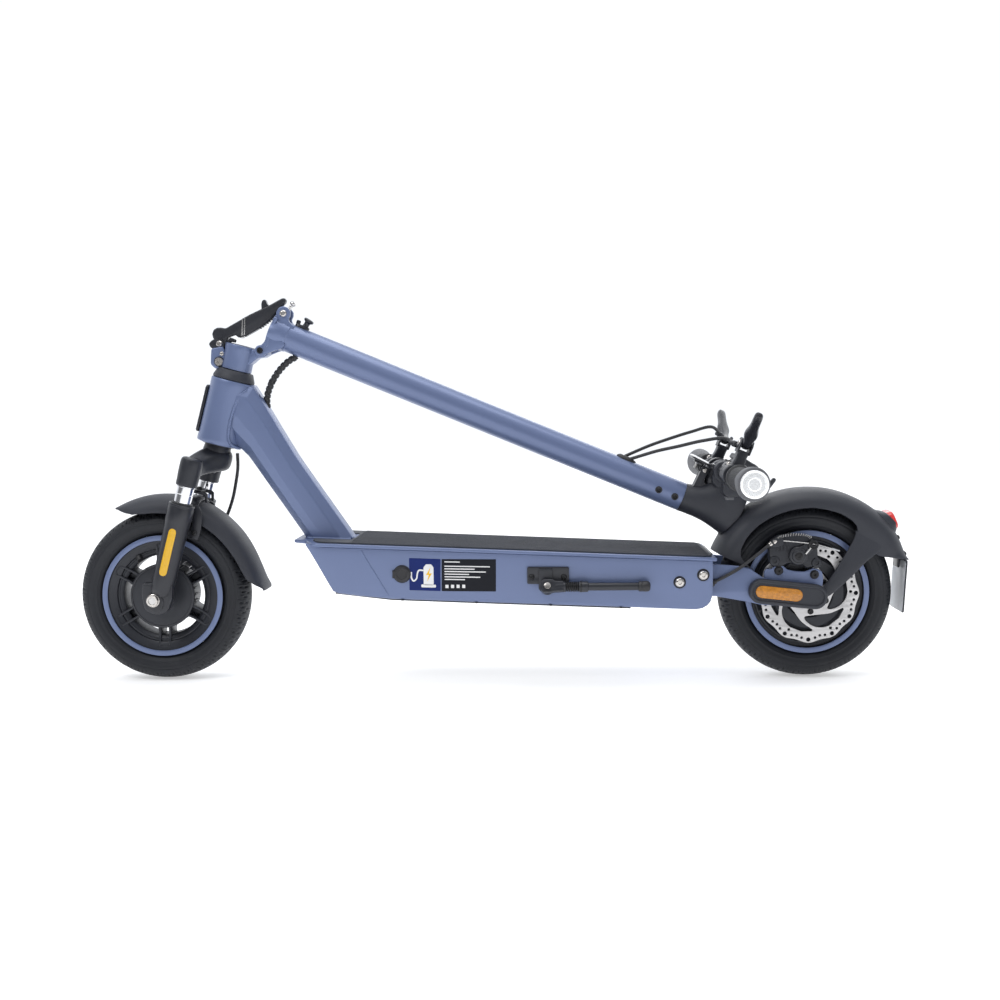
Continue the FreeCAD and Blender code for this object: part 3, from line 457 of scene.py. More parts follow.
def fillet(pts, r, n=4):
    """rounds a closed outline's corners. r is a number or a list, one for each corner"""
    out = []
    m = len(pts)
    for i in range(m):
        p0, p, p1 = (Vector((*q[:2], 0)) for q in (pts[i - 1], pts[i], pts[(i + 1) % m]))
        rr = r[i] if isinstance(r, (list, tuple)) else r
        a, b = (p0 - p), (p1 - p)
        la_, lb_ = a.length, b.length
        if rr <= 0 or la_ < 1e-6 or lb_ < 1e-6:
            out.append((p.x, p.y))
            continue
        a, b = a / la_, b / lb_
        ang = a.angle(b, 0)
        if ang > rad(176):
            out.append((p.x, p.y))
            continue
        back = min(rr / math.tan(ang / 2), 0.48 * la_, 0.48 * lb_)
        q0, q1 = p + a * back, p + b * back
        for k in range(n + 1):
            t = k / n
            q = q0 * (1 - t) ** 2 + p * 2 * t * (1 - t) + q1 * t * t
            out.append((q.x, q.y))
    return out


def plate(name, loops, w0, w1, mat, body, bevel=0.6, O=(0, 0, 0), U=X, V=Z, Nn=Y, res=2, **kw):
    """a flat plate with holes and rounded edges. loops are closed outlines (u, v) in mm, and it lies from w0 to w1 along Nn"""
    cu = bpy.data.curves.new("c", "CURVE")
    cu.dimensions = "2D"
    cu.fill_mode = "BOTH"
    th = abs(w1 - w0)
    bevel = min(bevel, th * 0.49)
    cu.extrude = (th / 2 - bevel) / 1000.0
    cu.bevel_depth = bevel / 1000.0
    cu.bevel_resolution = res
    cu.offset = -bevel / 1000.0
    for lp in loops:
        sp = cu.splines.new("POLY")
        sp.points.add(len(lp) - 1)
        sp.points.foreach_set("co", [c for q in lp for c in (q[0] / 1000.0, q[1] / 1000.0, 0, 1)])
        sp.use_cyclic_u = True
    t = bpy.data.objects.new("t", cu)
    bpy.context.scene.collection.objects.link(t)
    me = bpy.data.meshes.new_from_object(t)
    bpy.data.objects.remove(t)
    bpy.data.curves.remove(cu)
    me.name = name
    O = Vector(O) + Vector(Nn) * (w0 + w1) / 2
    o = Vector(((O.x - SHIFT) / 1000, O.y / 1000, O.z / 1000))
    m = Matrix.Identity(4)
    for i in range(3):
        m[i][0], m[i][1], m[i][2], m[i][3] = U[i], V[i], Nn[i], o[i]
    me.transform(m)
    return finish_mesh(name, me, mat, body, kw.get("smooth", 40), kw.get("replaces", ()))


def helix(o, d, r, length, turns, wire, n=14, k=8):
    u, v, d = axes(d)
    pts = []
    cnt = int(turns * n)
    for i in range(cnt + 1):
        a = 2 * pi * i / n
        pts.append(Vector(o) + d * length * i / cnt + u * r * cos(a) + v * r * sin(a))
    return sweep_data(pts, circle(wire, k), up=d)


def bolt_data(o, d, r=4.0, h=3.0, sock=1.8, n=28, button=True):
    """a cap screw's head with a six-sided recess, standing on o along d"""
    if button:
        prof = [(r * 0.98, 0), (r, h * 0.25), (r * 0.9, h * 0.62), (r * 0.68, h * 0.9), (sock * 1.25, h), (sock * 1.1, h)]
    else:
        prof = [(r, 0), (r, h * 0.8), (r * 0.93, h), (sock * 1.25, h), (sock * 1.1, h)]
    v, f = lathe_data(prof, o, d, n)
    u, w, dd = axes(d)
    o = Vector(o)
    hexp = [u * cos(rad(60 * i)) * sock + w * sin(rad(60 * i)) * sock for i in range(6)]
    top = [o + dd * h + q for q in hexp]
    bot = [o + dd * h * 0.35 + q for q in hexp]
    k = len(v)
    ring = [o + dd * h + (u * cos(2 * pi * i / 24) + w * sin(2 * pi * i / 24)) * sock * 1.1 for i in range(24)]
    V2 = top + bot + ring
    F2 = [(i, (i + 1) % 6, 6 + (i + 1) % 6, 6 + i) for i in range(6)] + [tuple(range(6, 12))]
    for i in range(24):
        j = (i + 1) % 24
        F2.append((12 + i, 12 + j, (j // 4) % 6 if j % 4 == 0 else i // 4, i // 4) if False else (12 + i, 12 + j, ((i // 4) + (1 if i % 4 >= 2 else 0)) % 6))
    for i in range(6):
        F2.append((12 + (i * 4 + 2) % 24, i, (i + 1) % 6))
    return merge([(v, f), (V2, F2)])


def bolts(name, items, mat, body, **kw):
    v, f = merge([bolt_data(*i) if isinstance(i, tuple) else bolt_data(**i) for i in items])
    return mesh(name, v, f, mat, body, **kw)


def disc_pts(cx, cz, r, n=24, a0=0.0):
    return [(cx + r * cos(a0 + 2 * pi * i / n), cz + r * sin(a0 + 2 * pi * i / n)) for i in range(n)]


def interp(tab, x):
    xs = [t[0] for t in tab]
    ys = [t[1] for t in tab]
    if xs[0] > xs[-1]:
        xs, ys = xs[::-1], ys[::-1]
    return float(np.interp(x, xs, ys))


def smooth_tab(tab, x):
    """monotone-ish smooth interpolation: linear table, averaged over a small window"""
    return sum(interp(tab, x + d) for d in (-2.4, -1.2, 0, 1.2, 2.4)) / 5


def each(fn):
    for k in (-1, 1):
        fn(k)


# ==== wheels =============================================================================================
def tyre(name, cx, body, mirror, node):
    """the tread's slanted grooves are cut into the shell: nth rounds of points about the axle"""
    nth = 960
    prof = [(90.5, -20.5), (92, -23.5), (95.5, -26.8), (97.2, -27.6), (97.9, -28.6), (99.2, -29.0), (100.6, -28.6), (103, -30.2), (107, -31.0), (109.4, -30.9), (110.2, -30.2), (111.2, -30.5), (113.6, -29.8),
            (116.2, -28.4), (118.6, -26.4), (120.7, -23.8), (122.5, -20.6), (124.0, -17.0), (125.2, -13.0), (126.1, -8.8), (126.7, -4.5), (126.85, -1.8), (126.95, 0)]
    prof = prof + [(r, -y) for r, y in prof[-2::-1]]
    r_ = np.array([p[0] for p in prof])
    y_ = np.array([p[1] for p in prof])
    dr = np.gradient(r_)
    dy = np.gradient(y_)
    ln = np.hypot(dr, dy)
    nr, ny = dy / ln, -dr / ln
    th = np.arange(nth) * 2 * pi / nth
    T, R_ = np.meshgrid(th, r_, indexing="ij")
    _, Yy = np.meshgrid(th, y_, indexing="ij")
    depth = np.zeros_like(T)
    pitch = 2 * pi / 32
    s = np.abs(Yy) / 31.0
    side = np.where(Yy < 0, 0.0, 0.5)
    tread = np.clip((R_ - 110.8) / 3.0, 0, 1)
    for off, s0, s1, wmax, dmax, slope in ((0.0, 0.20, 0.985, 2.3, 2.8, 2.2), (0.5, 0.58, 0.95, 1.4, 1.7, 2.2)):
        line = (slope * s + 0.9 * s * s) * pitch * (1 if mirror else -1)
        d = (T - line) / pitch + off + side
        d = np.abs(d - np.round(d)) * pitch * R_
        taper = np.clip((s - s0) / 0.25, 0, 1) * np.clip((s1 - s) / 0.12, 0, 1)
        w = wmax * (0.35 + 0.65 * taper)
        g = np.clip(1 - d / w, 0, 1)
        g = g * g * (3 - 2 * g)
        depth = np.maximum(depth, dmax * g * taper * tread)
    RR = R_ - depth * nr
    YY = Yy - depth * ny
    inner = [(92.5, 18), (98, 22.5), (107, 25.5), (114.5, 23.5), (119.5, 14), (121, 0), (119.5, -14), (114.5, -23.5), (107, -25.5), (98, -22.5), (92.5, -18)]
    ri = np.array([p[0] for p in inner])
    yi = np.array([p[1] for p in inner])
    RR = np.concatenate([RR, np.tile(ri, (nth, 1))], axis=1)
    YY = np.concatenate([YY, np.tile(yi, (nth, 1))], axis=1)
    TT = np.tile(th[:, None], (1, RR.shape[1]))
    m = RR.shape[1]
    xs = (cx - SHIFT + RR * np.cos(TT)) / 1000
    zs = (127.0 + RR * np.sin(TT)) / 1000
    co = np.stack([xs, YY / 1000, zs], axis=2).reshape(-1, 3)
    idx = np.arange(nth * m).reshape(nth, m)
    a = idx
    b = np.roll(idx, -1, axis=1)
    c = np.roll(b, -1, axis=0)
    d_ = np.roll(idx, -1, axis=0)
    faces = np.stack([a, b, c, d_], axis=2).reshape(-1, 4)
    me = bpy.data.meshes.new(name)
    me.vertices.add(len(co))
    me.vertices.foreach_set("co", co.astype(np.float32).ravel())
    me.loops.add(faces.size)
    me.loops.foreach_set("vertex_index", faces.astype(np.int32).ravel())
    me.polygons.add(len(faces))
    me.polygons.foreach_set("loop_start", np.arange(0, faces.size, 4, dtype=np.int32))
    me.update(calc_edges=True)
    return finish_mesh(name, me, tyre_m, body, 50, (node,), weld=False)


tyre("front_tyre_tread", 0, "front_wheel", True, "front_tyre")
tyre("rear_tyre_tread", 950, "rear_wheel", True, "rear_tyre")


def valve(name, c, a, body, y=-17.0):
    """a tyre valve that points in from the rim at angle a"""
    e = Vector((cos(rad(a)), 0, sin(rad(a))))
    o = Vector(c) + e * 83 + Y * (y + 6)
    d = (-e * 0.86 - Y * 0.5).normalized()
    lathe(name, [(0, 0), (5.0, 0), (5.2, 2), (3.6, 5), (3.3, 14), (2.7, 15), (2.7, 16), (4.0, 16.5), (4.2, 22.5), (3.6, 24), (0, 24)], o, d, rubber, body, n=20)


# front wheel: cast rim with six double spokes
loft_rim = [(72, -22), (78, -23.4), (81.6, -24.4), (82.0, -26.6), (82.6, -27.2), (89.2, -27.2), (90.3, -26.2), (90.4, -21), (88, -17), (86, -8), (86, 8), (88, 17), (90.4, 21), (90.3, 26.2), (89.2, 27.2), (82.6, 27.2), (82, 26.6), (81.6, 24.4), (78, 23.4), (72, 22),
            (64, 19.5), (60.6, 17), (60.0, 13), (60.0, -13), (60.6, -16), (64, -18.6), (66, -19.2), (67, -18.4), (69, -18.4), (70, -20.8)]
lathe("front_rim_casting", loft_rim, FW, Y, castmetal, "front_wheel", n=120, closed=True, replaces=("front_rim",), smooth=28)


def rim_band(name, c, body, y):
    k = -1 if y < 0 else 1
    lathe(name, [(82.3, y), (82.5, y + 0.75 * k), (83.2, y + 1.0 * k), (89.2, y + 1.0 * k), (90.0, y + 0.7 * k), (90.2, y), (89, y - 1 * k), (83, y - 1 * k)], c, Y, paint, body, n=144, closed=True)


rim_band("front_rim_band_left", FW, "front_wheel", -27.0)
rim_band("front_rim_band_right", FW, "front_wheel", 27.0)
hub_prof = [(14.2, -27), (30, -27.4), (46.4, -28), (47.7, -27.6), (48.1, -26.6), (48.1, -24.0), (45.2, -23.4), (45.2, 20), (44.0, 21.6), (38.5, 22), (38, 20), (38, 4), (22, 2), (22, 12), (14.2, 12)]
lathe("front_hub_drum", hub_prof, FW, Y, castmetal, "front_wheel", n=96, closed=True)
lathe("front_hub_face_ring", [(44.3, -28.2), (44.9, -28.9), (46.5, -28.9), (47.3, -28.3), (47.3, -27.4), (44.3, -27.4)], FW, Y, smooth_plastic, "front_wheel", n=96, closed=True)


def spoke(i):
    a = rad(30 + 60 * i)
    e = Vector((cos(a), 0, sin(a)))
    t = Vector((-sin(a), 0, cos(a)))
    parts = []
    for k in (-1, 1):
        rings = []
        for r, w, y0, y1, off in ((43, 4.6, -24.5, 14, 8.0), (48, 4.0, -22.5, 13, 7.8), (54, 3.7, -20.5, 12, 7.6), (60, 3.8, -20.0, 12, 7.6), (68, 4.0, -21.6, -6, 7.6), (75, 3.6, -23.4, -12, 7.4), (77.5, 2.4, -22.6, -16, 7.2)):
            c = FW + e * r + t * (off * k)
            sec = rrect(w, y1 - y0, 1.4, 2)
            rings.append([c + t * p + Y * ((y0 + y1) / 2 + q) for p, q in sec])
        parts.append(loft_data(rings))
    # the web between the pair, sunk behind their faces
    rings = []
    for r, y0, y1 in ((44, -14, 6), (52, -13, 5), (61, -13, 5)):
        c = FW + e * r
        rings.append([c + t * p + Y * ((y0 + y1) / 2 + q) for p, q in rrect(11, 6, 1.5, 2)])
    parts.append(loft_data(rings)) if i in (0, 2, 3, 5) else None
    # rounded loop that closes the pair on the rim
    arc = [FW + e * (75 + 3.0 * sin(rad(q))) + t * (7.4 * cos(rad(q))) + Y * -22.4 for q in range(0, 181, 20)]
    parts.append(sweep_data(arc, circle(1.5, 8)))
    v, f = merge(parts)
    mesh("front_spoke_%d" % (i + 1), v, f, castmetal, "front_wheel", smooth=40)


for i in range(6):
    spoke(i)
valve("front_valve", FW, 122, "front_wheel")
bolts("front_hub_screws", [(FW + Vector((34 * cos(rad(a)), 20.0, 34 * sin(rad(a)))), Y, 3.2, 2.2, 1.5) for a in range(15, 375, 60)], blackbolt, "front_wheel")
# cooling fins on the drum's rim
v, f = merge([loft_data([[FW + Vector((cos(a_), 0, sin(a_))) * r + Vector((-sin(a_), 0, cos(a_))) * p + Y * (-6 + q) for p, q in rrect(2.4, 22, 0.8, 2)] for r in (44.8, 47.6)]) for a_ in [rad(q) for q in range(0, 360, 12)]])
mesh("front_hub_fins", v, f, castmetal, "front_wheel")

# rear wheel: the hub motor's covers carry the band, the disc and the spokes' pattern
rear_rim = [(82, -20), (81.6, -24.4), (82.0, -26.6), (82.6, -27.2), (89.2, -27.2), (90.3, -26.2), (90.4, -21), (88, -17), (86, -8), (86, 8), (88, 17), (90.4, 21), (90.3, 26.2), (89.2, 27.2), (82.6, 27.2), (82, 26.6), (81.6, 24.4), (82, 20),
            (77.5, 19.5), (76.8, 21.0), (74.5, 21.4), (73.6, 20.4), (68, 27.4), (60, 28.6), (34, 30), (14.3, 30), (14.3, 26), (62, 24), (66, 18), (66, -18), (62, -24), (30, -26), (14.3, -26), (14.3, -33), (34, -33), (35, -36.5), (36.5, -37.6), (50.5, -37.6), (52, -36.5),
            (52.6, -31.5), (60, -29.6), (68, -27.6), (73.2, -20.6), (74.5, -21.4), (76.8, -21.0), (77.5, -19.5)]
lathe("hub_motor_casting", rear_rim, RW, Y, castmetal, "rear_wheel", n=144, closed=True, replaces=("hub_motor_shell",), smooth=28)
rim_band("rear_rim_band_left", RW, "rear_wheel", -27.0)
rim_band("rear_rim_band_right", RW, "rear_wheel", 27.0)
valve("rear_valve", RW, 203, "rear_wheel", y=-19)
for k, nm in ((-1, "left"), (1, "right")):
    bolts("motor_cover_screws_" + nm, [(RW + Vector((63 * cos(rad(a)), k * (27.6 if k > 0 else 28.3), 63 * sin(rad(a)))), Y * k, 3.4, 2.4, 1.6) for a in range(0, 360, 30)], blackbolt, "rear_wheel")
v, f = merge([loft_data([[RW + Vector((cos(a_), 0, sin(a_))) * r + Vector((-sin(a_), 0, cos(a_))) * p + Y * (y + q) for p, q in rrect(w, 2.6, 1.0, 2)] for r, w, y in ((24, 6.5, 30.4), (40, 5.0, 30.0), (56, 4.2, 29.0), (66, 3.4, 27.4))]) for a_ in [rad(q) for q in range(0, 360, 30)]])
mesh("motor_cover_ribs_right", v, f, castmetal, "rear_wheel", smooth=45)


# brake disc: a waved rim, twelve large and many small holes, and six swept arms
def rotor():
    outer = []
    for i in range(240):
        a = 2 * pi * i / 240
        outer.append((950 + (71.4 + 1.35 * cos(12 * a)) * cos(a), 127 + (71.4 + 1.35 * cos(12 * a)) * sin(a)))
    loops = [outer]
    for k in range(6):
        base = 60 * k + 6
        R0, R1 = 33.0, 57.0
        side_a, side_b = [], []
        for i in range(29):
            u = i / 28
            r = R0 + (R1 - R0) * u
            g = (1 - abs(2 * u - 1) ** 3.2) ** (1 / 3.2)
            swirl = 44 * u ** 1.1
            hw = math.degrees(3.9 / r)
            lo_, hi_ = base + swirl + hw, base + 60 + swirl - hw
            mid = (lo_ + hi_) / 2
            half = (hi_ - lo_) / 2 * g * (0.98 if u < 0.5 else 1.0)
            for lst, ang in ((side_a, mid - half), (side_b, mid + half)):
                lst.append((950 + r * cos(rad(ang)), 127 + r * sin(rad(ang))))
        loop = side_a + side_b[::-1]
        loop = [p for i, p in enumerate(loop) if i == 0 or math.dist(p, loop[i - 1]) > 0.05]
        loops.append(loop)
    loops.append(disc_pts(950, 127, 20.2, 48))
    for i in range(12):
        a = rad(30 * i)
        loops.append(disc_pts(950 + 68.0 * cos(a), 127 + 68.0 * sin(a), 3.1, 18))
        for da, r, s in ((8.5, 65.8, 2.0), (15, 64.0, 2.0), (21.5, 65.8, 2.0)):
            b = rad(30 * i + da)
            loops.append(disc_pts(950 + r * cos(b), 127 + r * sin(b), s, 12))
        b = rad(30 * i + 2)
        if i % 2 == 0:
            loops.append(disc_pts(950 + 60.2 * cos(b), 127 + 60.2 * sin(b), 2.2, 12))
    for i in range(6):
        a = rad(60 * i + 36)
        loops.append(disc_pts(950 + 27.0 * cos(a), 127 + 27.0 * sin(a), 2.2, 12))
    plate("brake_disc", loops, -40.0, -38.0, rotor_m, "rear_wheel", bevel=0.22, replaces=("brake_rotor",))
    bolts("disc_screws", [(RW + Vector((27 * cos(rad(60 * i + 36)), -40.0, 27 * sin(rad(60 * i + 36)))), -Y, 4.4, 2.2, 1.9) for i in range(6)], blackbolt, "rear_wheel")


rotor()

# ==== fork ================================================================================================
for k, nm in ((-1, "left"), (1, "right")):
    y = 62.0 * k
    # stanchion with its bright collar
    lathe("stanchion_" + nm, [(0, 72), (12.5, 72), (12.5, 205), (0, 205)], LP(0, y), A, chrome, "steering", n=56, replaces=("fork_stanchions",) if k < 0 else ())
    lathe("stanchion_collar_" + nm, [(12.4, 158.5), (12.55, 158.8), (12.6, 160), (12.6, 169.2), (13.2, 169.6), (13.6, 170.0), (13.6, 171.8), (12.4, 171.8)], LP(0, y), A, chrome, "steering", n=56, closed=True)
    # shoulder casting around the stanchion's top
    lathe("crown_shoulder_" + nm, [(12.4, 171.2), (14.6, 171.2), (15.4, 171.8), (15.7, 173), (15.6, 178), (16.2, 190), (16.3, 203), (15.9, 208), (14.9, 211), (13.0, 212.4), (10.9, 212.6), (10.7, 210.8), (0, 210.8)], LP(0, y), A, castmetal, "steering", n=56)
    cap_c = LP(211.0, y)
    u_, v_, _ = axes(A)
    star = []
    for i in range(60):
        a = 2 * pi * i / 60
        star.append((9.4 * cos(a) * (1 - 0.14 * max(0, cos(6 * a)) ** 2), 9.4 * sin(a) * (1 - 0.14 * max(0, cos(6 * a)) ** 2)))
    plate("crown_star_cap_" + nm, [star, disc_pts(0, 0, 3.4, 6)], -1.2, 1.4, blackmetal, "steering", bevel=0.5, O=cap_c, U=u_, V=v_, Nn=A)
    # lower leg, drawn from its mouth down to the flattened end
    prof = [(12.8, 138), (12.9, 143.2), (13.6, 144.2), (18.2, 144.2), (18.9, 143.4), (19.0, 141.4), (18.5, 140.8), (18.5, 138.9), (18.8, 138.2), (18.8, 122), (18.4, 117), (17.9, 112), (17.3, 70), (16.7, 35), (16.3, 16), (15.4, 10), (13, 6.5), (8, 5), (0, 5)]
    lathe("leg_" + nm, prof, LP(0, y), A, blackmetal, "fork_lower", n=64, replaces=("lower_legs",) if k < 0 else ())
    lathe("leg_seal_" + nm, [(12.8, 142), (13.0, 146.2), (14.2, 146.8), (15.6, 145.6), (15.8, 143.4)], LP(0, y), A, rubber, "fork_lower", n=56, closed=True)
    out = fillet([(-16, 152), (-17.5, 136), (-14, 112), (4, 104.6), (20, 110), (26.5, 128), (27.5, 149), (20, 150), (19, 134), (14, 152)], [3, 8, 14, 16, 14, 8, 1.5, 1.5, 4, 2], 6)
    plate("dropout_" + nm, [out, disc_pts(0, 127, 6.2, 32)], *sorted((57.5 * k, 71.5 * k)), blackmetal, "fork_lower", bevel=1.8)
    out = fillet([(-9, 128), (-9, 118), (0, 108), (12, 112), (15, 126), (9, 140), (-4, 139)], 7, 6)
    plate("dropout_boss_" + nm, [out, disc_pts(0, 127, 6.2, 32)], *sorted((70.5 * k, 73.0 * k)), blackmetal, "fork_lower", bevel=0.9)
    # reflector strip wrapped on the leg
    cols = []
    mid, halfl, hw = 73.5, 30.0, 5.5
    for j in range(13):
        w_ = -hw + 2 * hw * j / 12
        e_ = math.sqrt(max(0.0, hw * hw - w_ * w_)) if abs(w_) < hw else 0.0
        r0 = 17.6
        yy = math.sqrt(r0 * r0 - w_ * w_)
        ring = []
        for (tt, dy) in ((mid - halfl - e_, -0.8), (mid - halfl - e_ + 0.3, 0.75), (mid, 0.95), (mid + halfl + e_ - 0.3, 0.75), (mid + halfl + e_, -0.8), (mid, -0.9)):
            ring.append(LP(tt, 0) + W * w_ + Y * ((62 + yy + dy) * k))
        cols.append(ring)
    loft("leg_reflector_" + nm, cols, yellow, "fork_lower", smooth=40)
    # axle nut: flanged, with a recessed socket
    lathe("front_axle_nut_" + nm, [(6.0, 0), (9.3, 0), (9.5, 0.8), (9.5, 2.0), (8.6, 2.6), (8.2, 6.6), (7.4, 7.4), (5.6, 7.4), (5.2, 6.4), (5.2, 2.4), (0, 2.4)], (0, 73.0 * k, 127), Y * k, boltm, "fork_lower", n=48, replaces=("front_axle",) if k < 0 else ())
    lathe("front_nut_recess_" + nm, [(0, 2.2), (5.3, 2.2), (5.3, 2.9), (0, 2.9)], (0, 73.0 * k, 127), Y * k, blackbolt, "fork_lower", n=28)
lathe("front_axle_rod", [(0, -79), (5.0, -79), (5.9, -78), (5.9, 78), (5.0, 79), (0, 79)], FW, Y, steel, "fork_lower", n=32)


def crown():
    """bridge from leg to leg, arched up to the steerer"""
    st = [(-62, (53.5, 313.0), 27, 24), (-50, (54.5, 316.0), 28, 27), (-40, (58.0, 320.0), 30, 29), (-30, (64.0, 323.5), 33, 31), (-20, (72.5, 327.0), 38, 33), (-10, (80.0, 329.0), 42, 35), (0, (82.5, 329.5), 43, 36)]
    st = st + [(-y, c, a, b) for y, c, a, b in st[-2::-1]]
    rings = []
    for y, c, a, b in st:
        rings.append([Vector((c[0], y, c[1])) + W * p + A * q for p, q in superell(a / 2, b / 2, 2.9, 28)])
    loft("crown_bridge", rings, castmetal, "steering", sub=1, smooth=60, replaces=("fork_crown",))
    prof = [(0, -126), (15, -126), (18.5, -124.5), (20.4, -121), (20.8, -114), (20.2, -106), (19.4, -100), (18.9, -97.9), (14.2, -97.9), (14.2, 34), (9, 34), (9, -60), (0, -60)]
    lathe("crown_steerer", prof, HT, A, castmetal, "steering", n=64)
    lathe("crown_race", [(14.2, -98.6), (23.8, -98.6), (24.6, -98.2), (24.8, -97.3), (24.0, -96.9), (14.2, -96.9)], HT, A, smooth_plastic, "steering", n=64, closed=True)


crown()


# ==== mudguard over the front wheel ==========================================================================
def guard_rings(c, th_list, Rf, rin, half, drop_d, nsec, thick=2.4, yscale=None, e=2.3):
    """a curved mudguard: at each angle a rounded section from skirt to skirt, and its inside"""
    rings = []
    for th in th_list:
        Ro, ri = Rf(th), rin(th)
        hh = half * (yscale(th) if yscale else 1.0)
        D = max(2.5, Ro - ri)
        sec = []
        dd = min(drop_d, D)
        for i in range(nsec + 1):
            q = -1 + 2 * i / nsec
            q = math.copysign(1 - (1 - abs(q)) ** 1.35, q)
            drop = dd * (1 - (1 - min(1, abs(q)) ** e) ** (1 / e))
            sec.append((Ro - drop, hh * q))
        if D > drop_d + 0.5:
            lo = [(Ro - drop_d - (D - drop_d) * t, -hh) for t in (1.0, 0.75, 0.5, 0.25)]
            hi = [(r, hh) for r, y in lo[::-1]]
        else:
            lo = [(Ro - dd - 0.01 * t, -hh) for t in (4, 3, 2, 1)]
            hi = [(r, hh) for r, y in lo[::-1]]
        outer = lo + sec + hi
        inner = []
        for (r, y) in outer[::-1]:
            kk = max(0.0, 1 - thick / max(hh, 1))
            depth = thick * (1 - 0.6 * min(1, abs(y) / hh) ** 6)
            inner.append((r - (depth if abs(y) < hh * 0.999 else 0.0), y * kk if abs(y) > hh * 0.5 else y * (1 - (1 - kk) * abs(y) / (hh * 0.5))))
        lip0 = (outer[0][0] - 0.7, (outer[0][1] + inner[-1][1]) / 2)
        lip1 = (outer[-1][0] - 0.7, (outer[-1][1] + inner[0][1]) / 2)
        ring = outer + [lip1] + inner + [lip0]
        a = rad(th)
        rings.append([Vector((c.x + r * cos(a), y, c.z + r * sin(a))) for r, y in ring])
    return rings


def arange(a, b, n):
    return [a + (b - a) * i / n for i in range(n + 1)]


R_front = [(117.5, 148.6), (110, 149.4), (98.5, 150.2), (87, 150.4), (75, 150.8), (60, 149.6), (48.7, 148.4), (29.6, 147.4), (20, 147.6), (13.3, 149.0), (6, 152.2), (2.5, 154.4)]
rin_front = [(117.5, 147.5), (115, 141), (112, 134.5), (107.5, 128.5), (100, 125.5), (85, 124.2), (63.6, 123.6), (45, 123.8), (29.8, 124.6), (18, 127.0), (10.8, 131.0), (6.7, 141.0), (4.2, 150.0), (2.5, 153.6)]
ths = arange(117.5, 2.5, 92)
rings = guard_rings(FW, ths, lambda t: smooth_tab(R_front, t), lambda t: interp(rin_front, t), 38.0, 22.0, 22, 2.3, yscale=lambda t: interp([(117.5, 0.62), (114, 0.86), (108, 0.98), (100, 1.0), (12, 1.0), (6, 0.93), (2.5, 0.72)], t))
loft("front_mudguard", rings, plastic, "fork_lower", smooth=50, replaces=("front_fender",))
# strap that hangs the mudguard from the legs
for k, nm in ((-1, "left"), (1, "right")):
    pts = [(50, 271), (72, 268), (73.5, 262), (70, 259.5), (70, 246), (64, 243), (60, 250), (52, 252)]
    path = [Vector((49, 37 * k, 262)), Vector((56, 41.5 * k, 258)), Vector((60, 43 * k, 246)), Vector((58, 43 * k, 228)), Vector((53, 43.5 * k, 214))]
    v, f = sweep_data(smooth_path(path, 6), rrect(3.0, 14.0, 1.2, 2), up=W)
    mesh("mudguard_strap_" + nm, v, f, blackmetal, "fork_lower", smooth=45)
    bolts("mudguard_screw_" + nm, [(Vector((55.2, 44.9 * k, 222)), Y * k, 4.0, 2.6, 1.7)], blackbolt, "fork_lower")
saddle = []
for y in arange(-41, 41, 20):
    drop = 22.0 * (1 - (1 - (abs(y) / 41.5) ** 2.3) ** (1 / 2.3))
    saddle.append(Vector((49 - 0.42 * drop * 0.3, y, 0)) + Vector((0, 0, 127 + math.sqrt((152.6 - drop) ** 2 - (49 - 0.126 * drop) ** 2))))
v, f = sweep_data(saddle, rrect(2.6, 22.0, 1.0, 2), up=Vector((0.94, 0, -0.33)))
mesh("mudguard_saddle", v, f, blackmetal, "fork_lower", smooth=45)
# bracket with its turned-down lips between the legs, seen above the mudguard
tab = fillet([(46, 284), (66, 281), (70, 277), (69.5, 264), (66, 264), (65.5, 274), (60, 277), (47, 279.5)], 1.2, 3)
for k, nm in ((-1, "left"), (1, "right")):
    plate("mudguard_lip_" + nm, [tab], *sorted((17.0 * k, 19.5 * k)), blackmetal, "fork_lower", bevel=0.6)
brd = [Vector((46.5, y, 281.6)) for y in arange(-19.5, 19.5, 6)]
v, f = sweep_data([Vector((52, y, 282.6)) for y in arange(-19.5, 19.5, 8)], rrect(2.6, 16, 1.0, 2), up=Vector((0.97, 0, -0.15)))
mesh("mudguard_bridge", v, f, blackmetal, "fork_lower", smooth=45)
bolts("mudguard_bridge_screw", [(Vector((53, 0, 284.0)), Vector((0.15, 0, 0.98)), 5.0, 3.2, 2.2)], blackbolt, "fork_lower")

# drum brake on the right side
lathe("drum_plate", [(6.2, 22.6), (43.0, 22.6), (43.8, 23.2), (43.8, 25.6), (43, 26.6), (30, 27.4), (27.5, 28.4), (16, 28.8), (14.5, 31), (10, 31.4), (6.2, 31.4)], FW, Y, alu, "fork_lower", n=72, closed=True, replaces=("drum_brake_plate",))
v, f = merge([loft_data([[FW + Vector((cos(a_), 0, sin(a_))) * r + Vector((-sin(a_), 0, cos(a_))) * p + Y * (27.4 + q) for p, q in rrect(2.2, 1.8, 0.6, 2)] for r in (15, 28, 39)]) for a_ in [rad(q) for q in range(0, 360, 30)]])
mesh("drum_plate_ribs", v, f, alu, "fork_lower")
arm_out = fillet([(4.5, 155.5), (8, 151.5), (14, 152.5), (20, 157.5), (43.5, 173.5), (44.5, 178), (40.5, 181.5), (36, 180.5), (9, 164), (4.5, 161)], 4.0, 5)
plate("drum_arm_lever", [arm_out, disc_pts(39.5, 176.8, 1.9, 16)], 31.2, 34.4, steel, "drum_arm", bevel=0.7, replaces=("drum_brake_arm",))
lathe("drum_arm_boss", solid(6.2, 7.0, 0.8), (10, 29.0, 158), Y, steel, "drum_arm", n=36)
bolts("drum_arm_nut", [(Vector((10, 35.6, 158)), Y, 4.6, 3.6, 2.0), (Vector((39.5, 34.4, 176.8)), Y, 3.6, 3.0, 1.6)], boltm, "drum_arm")
